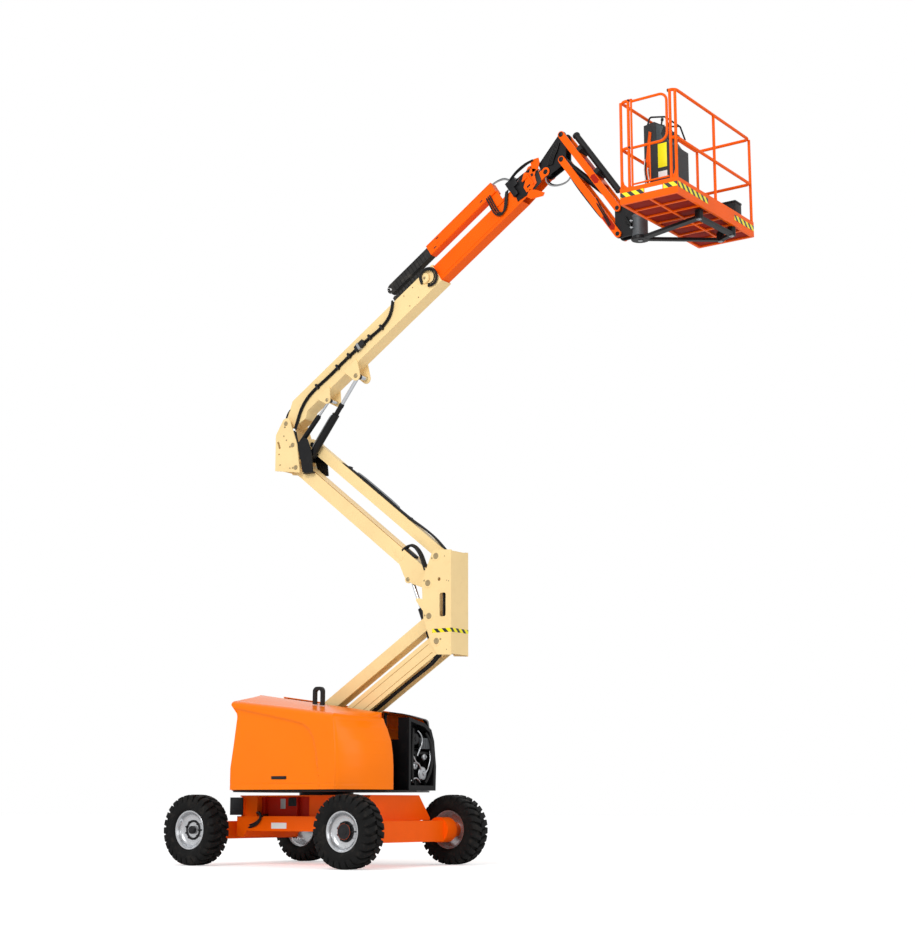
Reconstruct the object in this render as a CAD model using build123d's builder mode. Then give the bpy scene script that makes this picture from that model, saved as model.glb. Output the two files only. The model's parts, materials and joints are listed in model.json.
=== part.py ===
from build123d import *
from math import atan2, cos, degrees, hypot, pi, radians, sin
import os

os.makedirs("parts", exist_ok=True)

# Articulating boom lift on four wheels, millimetres. The origin is on the ground under the slew
# axis. +X runs along the chassis to the fixed axle, the way the boom points, +Y to the engine
# side, +Z up. The lift stands with its tower and boom half raised.

# ---------------------------------------------------------------- wheels and chassis
wheelbase = 2360
track = 2050
tyre_diameter = 840
tyre_width = 320
rim_diameter = 424
rim_flange_diameter = 464
rim_wall = 10
rim_sides = 24
lug_count = 17
lug_height = 26
kingpin_y = 800
kingpin_radius = 28
steer_arm = 160
axle_z = tyre_diameter / 2
axle_x = wheelbase / 2
wheel_y = track / 2
chassis_half_width = 500
chassis_front = axle_x - 120
chassis_rear = 180 - axle_x
hub_end = 85
steer_hub_radius = 45
drive_hub_radius = 90
running_gap = 0.5
chassis_top = 830
plate = 15
slew_radius = 330
turntable_z = 866
turntable_plate = 20

# ---------------------------------------------------------------- tower
near_plate = 15
tower_half_width = 175
lower_riser_angle = 32.0
lower_riser_length = 2300
upper_riser_angle = 180 - 37.9
upper_riser_length = 2654
pin_radius = 30
pin_gap = 1
joint_gap = 6


def along(start, angle, distance, up=0):
    """Point in the XZ plane at a distance along a member and up from it."""
    turn = radians(angle)
    side = 1 if cos(turn) >= 0 else -1
    return (
        start[0] + distance * cos(turn) - side * up * sin(turn),
        start[1] + distance * sin(turn) + side * up * cos(turn),
    )


# pins in the XZ plane
lower_pin_at_upright = (1785, 2603)
link_pin_at_upright = (1675, 2904)
upper_lower_pin = (1658, 3297)
upper_link_pin = (1775, 3610)
lower_base_pin = along(lower_pin_at_upright, lower_riser_angle, -lower_riser_length)
link_base_pin = along(link_pin_at_upright, lower_riser_angle, -lower_riser_length)
top_lower_pin = along(upper_lower_pin, upper_riser_angle, upper_riser_length)
top_link_pin = along(upper_link_pin, upper_riser_angle, upper_riser_length)
boom_pin = (-615, 5520)
master_base_pin = (-495, 5225)
lift_base_pin = (-255, 5095)

# ---------------------------------------------------------------- boom
boom_angle = 32.7
boom_half_width = 100
boom_wall = 8
boom_bottom = -35
boom_top = 235
boom_length = 2840
fly_half_width = 80
fly_bottom = -18
fly_top = 212
fly_tip = 4688
lift_lug_distance = 1182
master_lug_distance = 656
lift_rod_pin = along(boom_pin, boom_angle, lift_lug_distance, -176.5)
master_rod_pin = along(boom_pin, boom_angle, master_lug_distance, -136)
cylinder_lane = -60
level_pin = along(boom_pin, boom_angle, fly_tip, 56)
level_arm = 130
jib_angle = -55.0
jib_length = 1300
jib_lower_pin = (3530, 8200)
jib_upper_pin = (3530, 8510)

# ---------------------------------------------------------------- platform
platform_rear = 4790
platform_front = 5500
platform_half_length = 917
platform_floor_z = 7130
toe_board = 180
rail_height = 1100
rail_radius = 18
rotator_x = 4520


def member_plane(pin, angle, y=0):
    """Side plane: local x runs along the member from its pin, local y points up from it."""
    turn = radians(angle)
    facing = -1 if cos(turn) >= 0 else 1
    return Plane(origin=(pin[0], y, pin[1]), x_dir=(cos(turn), 0, sin(turn)), z_dir=(0, facing, 0))


def side_bar(plane, points, width, mode=Mode.ADD):
    """Polygon drawn on a side plane, as wide as given, half to each side of it."""
    with BuildSketch(plane) as profile:
        with BuildLine():
            Polyline(*points, close=True)
        make_face()
    extrude(profile.sketch, amount=width / 2, both=True, mode=mode)


def slab(plane, points, y_low, y_high, mode=Mode.ADD):
    """Polygon drawn in the XZ plane, between two values of Y."""
    level = Plane(origin=(plane.origin.X, (y_low + y_high) / 2, plane.origin.Z),
                  x_dir=plane.x_dir, z_dir=plane.z_dir)
    side_bar(level, points, y_high - y_low, mode)


def hull_slab(circles, y_low, y_high, mode=Mode.ADD):
    """Plate in the XZ plane whose outline wraps round the given circles (x, z, radius)."""
    with BuildSketch(Plane(origin=(0, y_low, 0), x_dir=(1, 0, 0), z_dir=(0, 1, 0))) as profile:
        for x, z, radius in circles:
            with Locations((x, -z)):
                Circle(radius)
        make_hull()
    extrude(profile.sketch, amount=y_high - y_low, mode=mode)


def cross_pin(pin, radius, y_low, y_high, mode=Mode.ADD):
    """Round pin or bore along Y through a point of the XZ plane."""
    with BuildSketch(Plane(origin=(pin[0], y_low, pin[1]), x_dir=(1, 0, 0), z_dir=(0, 1, 0))) as ring:
        Circle(radius)
    extrude(ring.sketch, amount=y_high - y_low, mode=mode)


def block(x_low, x_high, y_low, y_high, z_low, z_high, mode=Mode.ADD):
    """Box between two corners."""
    centre = ((x_low + x_high) / 2, (y_low + y_high) / 2, (z_low + z_high) / 2)
    with Locations(centre):
        Box(x_high - x_low, y_high - y_low, z_high - z_low, mode=mode)


def rod_between(start, end, radius, y, mode=Mode.ADD):
    """Round bar from one point of the XZ plane to another, at a given Y."""
    length = hypot(end[0] - start[0], end[1] - start[1])
    direction = ((end[0] - start[0]) / length, 0, (end[1] - start[1]) / length)
    with BuildSketch(Plane(origin=(start[0], y, start[1]), z_dir=direction)) as section:
        Circle(radius)
    extrude(section.sketch, amount=length, mode=mode)


def flat_sided(rings, mode=Mode.ADD):
    """Closed body with a flat face between each two neighbouring corners of successive rings."""
    faces = [Face(Wire.make_polygon(rings[0])), Face(Wire.make_polygon(rings[-1]))]
    for low, high in zip(rings, rings[1:]):
        for i in range(len(low)):
            faces.append(Face(Wire.make_polygon((low[i - 1], low[i], high[i], high[i - 1]))))
    add(Solid(Shell(faces)), mode=mode)


def axle_ring(x, y, corners):
    """Points round a wheel's axle at one Y, from (radius, turn) pairs with turn zero pointing down."""
    return [(x + radius * sin(turn), y, axle_z - radius * cos(turn)) for radius, turn in corners]


def turned(x, side, stations, mode=Mode.ADD):
    """Many-sided turned body on a wheel's axle, from (offset outward, radius) pairs."""
    turns = [2 * pi * i / rim_sides for i in range(rim_sides)]
    rings = [
        axle_ring(x, side * (wheel_y + offset), [(radius, turn) for turn in turns])
        for offset, radius in stations
    ]
    flat_sided(rings, mode)


def tube(plane, points, radius, bend, mode=Mode.ADD):
    """Eight-sided tube along straight runs drawn on a plane, with bends of one radius."""
    with BuildLine(plane) as route:
        FilletPolyline(*points, radius=bend)
    with BuildSketch(Plane(origin=route.line @ 0, z_dir=route.line % 0)) as section:
        RegularPolygon(radius, 8)
    sweep(section.sketch, path=route.line, mode=mode)


def beam(start, end, width, z_low, z_high, mode=Mode.ADD):
    """Flat bar between two points of the XY plane."""
    length = hypot(end[0] - start[0], end[1] - start[1])
    along_bar = ((end[0] - start[0]) / length, (end[1] - start[1]) / length, 0)
    with BuildSketch(Plane(origin=(start[0], start[1], z_low), x_dir=along_bar, z_dir=(0, 0, 1))) as bar:
        with Locations((length / 2, 0)):
            Rectangle(length, width)
    extrude(bar.sketch, amount=z_high - z_low, mode=mode)


def upright_plane(y):
    """XZ plane at one Y, seen from the near side: local x is X and local y is Z."""
    return Plane(origin=(0, y, 0), x_dir=(1, 0, 0), z_dir=(0, -1, 0))


def finish(builder, name):
    """Label a finished piece and write its STEP file."""
    builder.part.label = name
    export_step(builder.part, "parts/" + name + ".step")


# ================================================================= chassis
# Welded box frame with a proud lower beam on each side, a foot over the steering axle, the slew
# pedestal's boxes and a flared plate that carries the drive axle. A control box hangs at the rear.
recess_y = 380
with BuildPart() as chassis_frame:
    block(chassis_rear + 20, chassis_front - 80, -recess_y, recess_y, 560, chassis_top)
    slab(
        upright_plane(0),
        ((chassis_rear, 330), (chassis_rear + 110, 330), (chassis_rear + 160, 405), (chassis_front, 405),
         (chassis_front, 580), (chassis_rear, 580)),
        -chassis_half_width,
        chassis_half_width,
    )
    block(chassis_rear + 20, chassis_front - 60, -470, 470, chassis_top - plate, chassis_top)
    for end in (chassis_rear + 40, chassis_front - 360):
        block(end, end + 260, -470, 470, 560, chassis_top)
    with BuildSketch(Plane(origin=(chassis_front - 40, 0, 0), x_dir=(0, 1, 0), z_dir=(1, 0, 0))) as flare:
        with BuildLine():
            Polyline((-690, 535), (690, 535), (690, 565), (470, 830), (-470, 830), (-690, 565), close=True)
        make_face()
    extrude(flare.sketch, amount=40)
    block(chassis_rear - 90, chassis_rear + 110, -520, -recess_y, 600, 800)
finish(chassis_frame, "chassis_frame")

# The drive axle is a box beam between the two fixed wheels, with a motor housing in each wheel.
beam_front = axle_x + 90
beam_rear = axle_x - 100
with BuildPart() as fixed_axle:
    block(beam_rear, beam_front, -690, 690, 285, 530)
    block(chassis_front, beam_rear, -450, 450, 300, 560)
    for side in (-1, 1):
        with BuildSketch(Plane(origin=(axle_x, side * 690, axle_z), z_dir=(0, side, 0))) as housing:
            Circle(150)
        extrude(housing.sketch, amount=190)
        with BuildSketch(Plane(origin=(axle_x, side * 870, axle_z), z_dir=(0, side, 0))) as hub:
            Circle(drive_hub_radius)
        extrude(hub.sketch, amount=wheel_y + hub_end - 870)
finish(fixed_axle, "fixed_axle")

# The steering axle is a box beam with a forked yoke at each end, round the knuckle.
yoke_radius = 42
with BuildPart() as steer_axle:
    block(-axle_x - 90, -axle_x + 90, -640, 640, 310, 520)
    block(-axle_x + 90, chassis_rear, -300, 300, 400, 520)
    for side in (-1, 1):
        for z_low in (310, 490):
            with BuildSketch(Plane.XY.offset(z_low)) as yoke:
                with BuildLine():
                    Polyline(
                        (-axle_x - 90, side * 640),
                        (-axle_x - yoke_radius, side * kingpin_y),
                        (-axle_x + yoke_radius, side * kingpin_y),
                        (-axle_x + 90, side * 640),
                        close=True,
                    )
                make_face()
                with Locations((-axle_x, side * kingpin_y)):
                    Circle(yoke_radius)
            extrude(yoke.sketch, amount=30)
        with Locations((-axle_x, side * kingpin_y, axle_z)):
            Cylinder(kingpin_radius + pin_gap, 400, mode=Mode.SUBTRACT)
    block(-axle_x - 190, -axle_x - 90, -200, 200, 420, 470)
    with Locations((-axle_x - steer_arm, 0, 445)):
        Cylinder(42, 520, rotation=(90, 0, 0))
        Cylinder(19, 700, rotation=(90, 0, 0), mode=Mode.SUBTRACT)
finish(steer_axle, "steer_axle")

# Each knuckle turns on a king pin and carries the wheel's stub shaft and the steering arm.
for name, side in (("near", -1), ("far", 1)):
    with BuildPart() as knuckle:
        with Locations((-axle_x, side * kingpin_y, axle_z)):
            Cylinder(kingpin_radius, 250)
            Cylinder(yoke_radius, 138)
        with BuildSketch(Plane(origin=(-axle_x, side * kingpin_y, axle_z), z_dir=(0, side, 0))) as stub:
            Circle(steer_hub_radius)
        extrude(stub.sketch, amount=wheel_y + hub_end - kingpin_y)
        block(-axle_x - steer_arm - 30, -axle_x, side * kingpin_y - 28, side * kingpin_y + 28, 355, 385)
    finish(knuckle, "knuckle_" + name)

# One rod runs through the steering cylinder and reaches over both steering arms.
with BuildPart() as steer_rod:
    with Locations((-axle_x - steer_arm, 0, 445)):
        Cylinder(18, 2 * kingpin_y, rotation=(90, 0, 0))
    for side in (-1, 1):
        with Locations((-axle_x - steer_arm, side * kingpin_y, 425)):
            Cylinder(26, 60)
finish(steer_rod, "steer_rod")

# ================================================================= wheels
rim_radius = rim_diameter / 2
flange_radius = rim_flange_diameter / 2
tyre_radius = tyre_diameter / 2
half_tyre = tyre_width / 2
bead_half = 120
disc_offset = 45
dish_radius = 150
carcass_radius = tyre_radius - lug_height
wheels = (
    ("steer_near", -axle_x, -1, steer_hub_radius),
    ("steer_far", -axle_x, 1, steer_hub_radius),
    ("drive_near", axle_x, -1, drive_hub_radius),
    ("drive_far", axle_x, 1, drive_hub_radius),
)
lug_share = 0.28
# offset from the tyre's middle, lug radius, radius between lugs
tread_rings = (
    (5, tyre_radius, carcass_radius),
    (108, tyre_radius, carcass_radius),
    (half_tyre - 3, 366, 352),
    (half_tyre - 12, flange_radius + 22, flange_radius + 20),
)


def lugged_ring(x, side, offset, top, root, phase):
    """Outline of the tyre at one offset: lugs at one radius and the gaps between at another."""
    corners = [
        (radius, 2 * pi / lug_count * (i + place + phase))
        for i in range(lug_count)
        for radius, place in ((root, -lug_share), (top, -lug_share), (top, lug_share), (root, lug_share))
    ]
    return axle_ring(x, side * wheel_y + offset, corners)


for name, x, side, hub_radius in wheels:
    # Welded steel rim: a flanged barrel with a deep dish towards the outer side.
    with BuildPart() as rim:
        turned(
            x,
            side,
            (
                (-bead_half, flange_radius),
                (rim_wall - bead_half, flange_radius),
                (2 * rim_wall - bead_half, rim_radius),
                (bead_half - 2 * rim_wall, rim_radius),
                (bead_half - rim_wall, flange_radius),
                (bead_half, flange_radius),
            ),
        )
        turned(x, side, ((disc_offset, dish_radius), (bead_half - rim_wall, 204), (bead_half + 1, 208)),
               mode=Mode.SUBTRACT)
        turned(x, side, ((-bead_half - 1, rim_radius - rim_wall), (disc_offset - 25, rim_radius - rim_wall)),
               mode=Mode.SUBTRACT)
        with BuildSketch(Plane(origin=(x, side * wheel_y, axle_z), z_dir=(0, side, 0))) as bore:
            Circle(hub_radius + running_gap)
        extrude(bore.sketch, amount=bead_half, both=True, mode=Mode.SUBTRACT)
    finish(rim, "rim_" + name)
    # Two rows of lugs, half a pitch apart, run from a centre groove over the shoulders.
    with BuildPart() as tyre:
        turned(x, side, ((-20, carcass_radius - 3), (20, carcass_radius - 3)))
        for row in (-1, 1):
            rings = [
                lugged_ring(x, side, row * offset, top, root, 0.25 * row)
                for offset, top, root in tread_rings
            ]
            flat_sided(rings)
        turned(
            x,
            side,
            (
                (-half_tyre, flange_radius + 1),
                (rim_wall - bead_half + 0.7, flange_radius + 1),
                (2 * rim_wall - bead_half + 0.7, rim_radius + running_gap),
                (bead_half - 2 * rim_wall - 0.7, rim_radius + running_gap),
                (bead_half - rim_wall - 0.7, flange_radius + 1),
                (half_tyre, flange_radius + 1),
            ),
            mode=Mode.SUBTRACT,
        )
    finish(tyre, "tyre_" + name)

# ================================================================= turntable
tail_radius = 1170
hood_side = 950
hood_inner = 225
hood_bottom = 892
with BuildPart() as slew_ring:
    with Locations((0, 0, chassis_top)):
        Cylinder(slew_radius, turntable_z - chassis_top - running_gap, align=(Align.CENTER, Align.CENTER, Align.MIN))
finish(slew_ring, "slew_ring")

hood_hinge_y = 240
hood_hinge_z = 1908
hood_hinge_fall = 0.1427
hood_hinge_radius = 6
hinge_eye_radius = 13
hinge_posts = (-600, 700)


def hinge_round(x, side, radius, length, mode=Mode.ADD):
    """Round bar along a hood's sloping hinge line, starting at one X."""
    start = (x, side * hood_hinge_y, hood_hinge_z - hood_hinge_fall * x)
    with BuildSketch(Plane(origin=start, z_dir=(1, 0, -hood_hinge_fall))) as section:
        Circle(radius)
    extrude(section.sketch, amount=length, mode=mode)


# The turntable is a thick floor plate with two upright cheeks that carry the tower's base pins.
deck_z = turntable_z + turntable_plate
cheek_root_z = deck_z + 45
with BuildPart() as turntable_frame:
    with BuildSketch(Plane.XY.offset(turntable_z)) as floor:
        with BuildLine():
            Polyline(
                (-1000, -300),
                (-700, -910),
                (890, -910),
                (1150, -300),
                (1150, 300),
                (890, 910),
                (-700, 910),
                (-1000, 300),
                close=True,
            )
        make_face()
    extrude(floor.sketch, amount=turntable_plate)
    for side in (-1, 1):
        low, high = sorted((side * tower_half_width, side * (tower_half_width - near_plate)))
        hull_slab(
            (
                (link_base_pin[0], link_base_pin[1], 75),
                (lower_base_pin[0], lower_base_pin[1], 80),
                (-640, cheek_root_z, 45),
                (60, cheek_root_z, 45),
            ),
            low,
            high,
        )
        low, high = sorted((side * tower_half_width, side * 62))
        cross_pin(link_base_pin, pin_radius, low, high)
        for x in hinge_posts:
            low, high = sorted((side * (hood_hinge_y - 12), side * (hood_hinge_y + 12)))
            block(x, x + 24, low, high, deck_z, hood_hinge_z - hood_hinge_fall * x - 5)
            hinge_round(x, side, hinge_eye_radius, 24)
            hinge_round(x, side, hood_hinge_radius, 64)
    cross_pin(lower_base_pin, pin_radius, -tower_half_width, tower_half_width)
    block(-665, -650, -tower_half_width, tower_half_width, deck_z, 1250)
finish(turntable_frame, "turntable_frame")

# The counterweight is a casting that closes the tail below the hoods.
counterweight_top = 1150
counterweight_front = -760
with BuildPart() as counterweight:
    with BuildSketch(Plane.XY.offset(deck_z)) as tail:
        Circle(tail_radius - 20)
        with Locations((counterweight_front - 300, 0)):
            Rectangle(600, 1780, mode=Mode.INTERSECT)
    extrude(tail.sketch, amount=counterweight_top - deck_z)
finish(counterweight, "counterweight")

# Each side hood is a moulded cover with a rounded front, a raked tail over the counterweight and
# a crowned top that slopes down to the front. It is open below and towards the tower.
hood_wall = 12
hood_rear_x = -1000
hood_front_x = 1250
outer_edge_z = (1993, 1726)
crown_z = (2081, 1760)


def hood_section(x, outer_z, top_z, side, wall):
    """Cross-section of a hood at one X, moved in by a wall thickness."""
    rise = top_z - outer_z
    low = hood_bottom - 50 if wall else hood_bottom
    inner = 100 if wall else hood_inner
    with BuildSketch(Plane(origin=(x, 0, 0), x_dir=(0, side, 0), z_dir=(side, 0, 0))) as section:
        with BuildLine():
            Polyline(
                (inner, low),
                (hood_side - wall, low),
                (hood_side - wall, outer_z - wall),
                (hood_side - 150 - wall / 2, outer_z + 0.6 * rise - wall),
                (hood_side - 420, outer_z + 0.9 * rise - wall),
                (inner, top_z - wall),
                close=True,
            )
        make_face()
    return section.sketch


# height, how far the rear edge leans forward there, how far the front edge leans back
hood_levels = (
    (800, 0, 0),
    (1150, 0, 0),
    (1450, 50, 30),
    (1757, 95, 180),
    (1930, -10, 330),
    (2120, -10, 480),
)


def hood_plan(side, wall, level, rear, front):
    """Plan of a hood at one height, moved in by a wall thickness."""
    flank = side * (hood_side - wall)
    with BuildSketch(Plane.XY.offset(level)) as plan:
        with BuildLine():
            Line((-720 + rear + wall, flank), (900 - 0.3 * front, flank))
            ThreePointArc(
                (900 - 0.3 * front, flank),
                (1100 - 0.8 * front - wall, side * 640),
                (1200 - front - wall, side * 250),
            )
            Line((1200 - front - wall, side * 250), (1200 - front - wall, 0))
            Line((1200 - front - wall, 0), (-950 + rear + wall, 0))
            Line((-950 + rear + wall, 0), (-950 + rear + wall, side * 300))
            ThreePointArc(
                (-950 + rear + wall, side * 300),
                (-870 + rear + wall, side * 650),
                (-720 + rear + wall, flank),
            )
        make_face()
    return plan.sketch


def hood_volume(side, wall):
    """Solid inside the outer skin of a hood, or inside its wall."""
    with BuildPart() as volume:
        sections = [
            hood_section(x, outer_z, top_z, side, wall)
            for x, outer_z, top_z in zip((hood_rear_x, hood_front_x), outer_edge_z, crown_z)
        ]
        loft(sections, ruled=True)
        plans = [hood_plan(side, wall, level, rear, front) for level, rear, front in hood_levels]
        loft(plans, ruled=True, mode=Mode.INTERSECT)
    return volume.part


# A shallow recess in the hood's flank, deepest along its upper line and fading out below.
swoosh_base = 1150
swoosh_lean = 0.012
swoosh = (
    (-900, 0),
    (-900, 740),
    (-615, 715),
    (371, 521),
    (500, 450),
    (557, 366),
    (620, 200),
    (654, 0),
)


for name, side in (("near", -1), ("far", 1)):
    with BuildPart() as hood:
        add(hood_volume(side, 0))
        add(hood_volume(side, hood_wall), mode=Mode.SUBTRACT)
        low, high = sorted((0, side * 1000))
        block(-1100, -745, low, high, 800, counterweight_top + 10, mode=Mode.SUBTRACT)
        flank = Plane(origin=(0, side * hood_side, swoosh_base), x_dir=(-side, 0, 0), z_dir=(0, side, swoosh_lean))
        with BuildSketch(flank) as recess:
            with BuildLine():
                Polyline(*[(-side * x, rise) for x, rise in swoosh], close=True)
            make_face()
        extrude(recess.sketch, amount=60, mode=Mode.SUBTRACT)
        low, high = sorted((side * (hood_side - 5), side * (hood_side + 10)))
        block(-60, 170, low, high, 1010, 1050, mode=Mode.SUBTRACT)
        low, high = sorted((0, side * 1000))
        if side > 0:
            block(905, 1300, low, high, 800, 2100, mode=Mode.SUBTRACT)
        for x in hinge_posts:
            line_z = hood_hinge_z - hood_hinge_fall * (x + 43)
            low, high = sorted((side * (hood_hinge_y - 10), side * (hood_hinge_y + 10)))
            block(x + 30, x + 56, low, high, line_z - 12, line_z + 24)
            hinge_round(x, side, hood_hinge_radius + running_gap, 70, mode=Mode.SUBTRACT)
    finish(hood, "hood_" + name)

with BuildPart() as engine:
    block(-350, 850, 330, 820, deck_z, 1500)
finish(engine, "engine")

# The engine's open end stands in an arched frame: pulleys, filter, expansion tank and hoses.
arch_rear = 915
arch_front = 1080
arch_outline = ((235, deck_z), (780, deck_z), (790, 1180), (750, 1480), (690, 1620), (560, 1690), (235, 1755))
arch_pocket = ((275, deck_z + 60), (735, deck_z + 60), (745, 1180), (708, 1460), (655, 1585), (540, 1650), (275, 1705))
with BuildPart() as engine_end:
    for points, start, depth, mode in (
        (arch_outline, arch_rear, arch_front - arch_rear, Mode.ADD),
        (arch_pocket, arch_rear + 25, 200, Mode.SUBTRACT),
    ):
        with BuildSketch(Plane(origin=(start, 0, 0), x_dir=(0, 1, 0), z_dir=(1, 0, 0))) as arch:
            with BuildLine():
                Polyline(*points, close=True)
            make_face()
        extrude(arch.sketch, amount=depth, mode=mode)
    for y, z, radius, reach in ((560, 1090, 85, 110), (420, 1180, 50, 95), (610, 1290, 45, 95), (400, 1500, 70, 120)):
        with BuildSketch(Plane(origin=(arch_rear + 10, y, z), z_dir=(1, 0, 0))) as pulley:
            Circle(radius)
        extrude(pulley.sketch, amount=reach)
    block(arch_rear + 10, arch_rear + 115, 500, 690, 1390, 1520)
    block(arch_rear + 10, arch_rear + 125, 270, 740, 1320, 1350)
    for y in (330, 480, 680):
        block(arch_rear + 10, arch_rear + 80, y - 14, y + 14, deck_z + 40, 1330)
finish(engine_end, "engine_end")

with BuildPart() as service_unit:
    block(-450, 600, -820, -330, deck_z, 1450)
finish(service_unit, "service_unit")

# Black tubular arch on the near hood's crown.
with BuildPart() as exhaust_arch:
    with BuildSketch(upright_plane(-500)) as arch:
        with Locations((276, 1980)):
            RectangleRounded(160, 260, 60)
            RectangleRounded(80, 180, 30, mode=Mode.SUBTRACT)
    extrude(arch.sketch, amount=22, both=True)
    add(hood_volume(-1, 0), mode=Mode.SUBTRACT)
finish(exhaust_arch, "exhaust_arch")

# ================================================================= tower
riser_half = 135
riser_height = 222
riser_wall = 10
link_half = 75
link_height = 150
tower_base_pin = along(lower_pin_at_upright, lower_riser_angle, -180, -45)
tower_rod_pin = along(upper_lower_pin, upper_riser_angle, 337, -162)

# Lower link: a channel open below, cut away above at the upright end for the tower cylinder.
lower_plane = member_plane(lower_base_pin, lower_riser_angle)
with BuildPart() as lower_riser:
    half = riser_height / 2
    side_bar(lower_plane, ((0, -half), (lower_riser_length, -half), (lower_riser_length, half), (0, half)),
             2 * riser_half)
    side_bar(
        lower_plane,
        (
            (-200, -half - 10),
            (lower_riser_length + 200, -half - 10),
            (lower_riser_length + 200, half - riser_wall),
            (-200, half - riser_wall),
        ),
        2 * (riser_half - riser_wall),
        mode=Mode.SUBTRACT,
    )
    side_bar(
        lower_plane,
        (
            (lower_riser_length - 400, 0),
            (lower_riser_length + 200, 0),
            (lower_riser_length + 200, half + 10),
            (lower_riser_length - 400, half + 10),
        ),
        2 * (riser_half - riser_wall),
        mode=Mode.SUBTRACT,
    )
    for pin in (lower_base_pin, lower_pin_at_upright):
        for side in (-1, 1):
            low, high = sorted((side * riser_half, side * (riser_half - 20)))
            cross_pin(pin, half, low, high)
        cross_pin(pin, pin_radius + pin_gap, -200, 200, mode=Mode.SUBTRACT)
    cross_pin(tower_base_pin, 24, -riser_half + 1, riser_half - 1)
finish(lower_riser, "lower_riser")

# Upper link: two side plates under a top plate, forked at the upright end.
link_plane = member_plane(link_base_pin, lower_riser_angle)
link_fork = 800
with BuildPart() as lower_riser_link:
    half = link_height / 2
    side_bar(link_plane, ((0, -half), (lower_riser_length, -half), (lower_riser_length, half), (0, half)),
             2 * link_half)
    side_bar(
        link_plane,
        ((-200, -half - 10), (lower_riser_length + 200, -half - 10), (lower_riser_length + 200, half - 10),
         (-200, half - 10)),
        2 * (link_half - 20),
        mode=Mode.SUBTRACT,
    )
    side_bar(
        link_plane,
        ((lower_riser_length - link_fork, 0), (lower_riser_length + 200, 0),
         (lower_riser_length + 200, half + 10), (lower_riser_length - link_fork, half + 10)),
        2 * (link_half - 20),
        mode=Mode.SUBTRACT,
    )
    for pin in (link_base_pin, link_pin_at_upright):
        for side in (-1, 1):
            low, high = sorted((side * link_half, side * (link_half - 20)))
            cross_pin(pin, half, low, high)
            low, high = sorted((side * 200, side * 40))
            cross_pin(pin, pin_radius + pin_gap, low, high, mode=Mode.SUBTRACT)
finish(lower_riser_link, "lower_riser_link")

# The lower upright is two cheeks joined by a web on the outer side.
web_x = 1994
upright_inner = tower_half_width - near_plate
with BuildPart() as lower_upright:
    for side in (-1, 1):
        low, high = sorted((side * tower_half_width, side * upright_inner))
        hull_slab(
            (
                (upper_link_pin[0], upper_link_pin[1], 75),
                (upper_lower_pin[0], upper_lower_pin[1], 92),
                (link_pin_at_upright[0], link_pin_at_upright[1], 85),
                (lower_pin_at_upright[0], lower_pin_at_upright[1], 85),
                (web_x - 6, 3665, 6),
                (web_x - 6, 2440, 6),
                (1800, 2452, 6),
            ),
            low,
            high,
        )
        cross_pin((1819, 3332), 22, low - 5, high + 5, mode=Mode.SUBTRACT)
        with BuildSketch(upright_plane(high + 5)) as slot:
            with Locations((1871, 3028)):
                RectangleRounded(90, 280, 24)
        extrude(slot.sketch, amount=near_plate + 10, mode=Mode.SUBTRACT)
        for pin, reach in ((upper_link_pin, 160), (link_pin_at_upright, 52)):
            inner = side * reach
            low, high = sorted((side * tower_half_width, inner))
            cross_pin(pin, pin_radius, low, high)
    slab(upright_plane(0), ((1482, 3130), (1600, 3110), (1700, 2960), (1640, 2900), (1483, 3095)),
         -tower_half_width, -upright_inner)
    block(web_x - 12, web_x, -tower_half_width, tower_half_width, 2446, 3660)
    cross_pin(upper_link_pin, pin_radius, -tower_half_width, tower_half_width)
    cross_pin(upper_lower_pin, pin_radius, -tower_half_width, tower_half_width)
    cross_pin(lower_pin_at_upright, pin_radius, -tower_half_width, tower_half_width)
finish(lower_upright, "lower_upright")

# Tower cylinder: the barrel's eye turns on a pin in the lower link, the rod's bar lies between
# the two lugs of the upper riser.
tower_length = hypot(tower_rod_pin[0] - tower_base_pin[0], tower_rod_pin[1] - tower_base_pin[1])
tower_angle = degrees(atan2(tower_rod_pin[1] - tower_base_pin[1], tower_rod_pin[0] - tower_base_pin[0]))
tower_barrel_length = 595
with BuildPart() as tower_barrel:
    cross_pin(tower_base_pin, 48, -45, 45)
    rod_between(tower_base_pin, along(tower_base_pin, tower_angle, tower_barrel_length), 44, 0)
    rod_between(along(tower_base_pin, tower_angle, 40), along(tower_base_pin, tower_angle, tower_barrel_length + 10),
                23, 0, mode=Mode.SUBTRACT)
    cross_pin(tower_base_pin, 25, -60, 60, mode=Mode.SUBTRACT)
finish(tower_barrel, "tower_barrel")
with BuildPart() as tower_rod:
    rod_between(along(tower_base_pin, tower_angle, 372), tower_rod_pin, 22, 0)
    cross_pin(tower_rod_pin, 28, -52, 52)
finish(tower_rod, "tower_rod")

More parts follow.
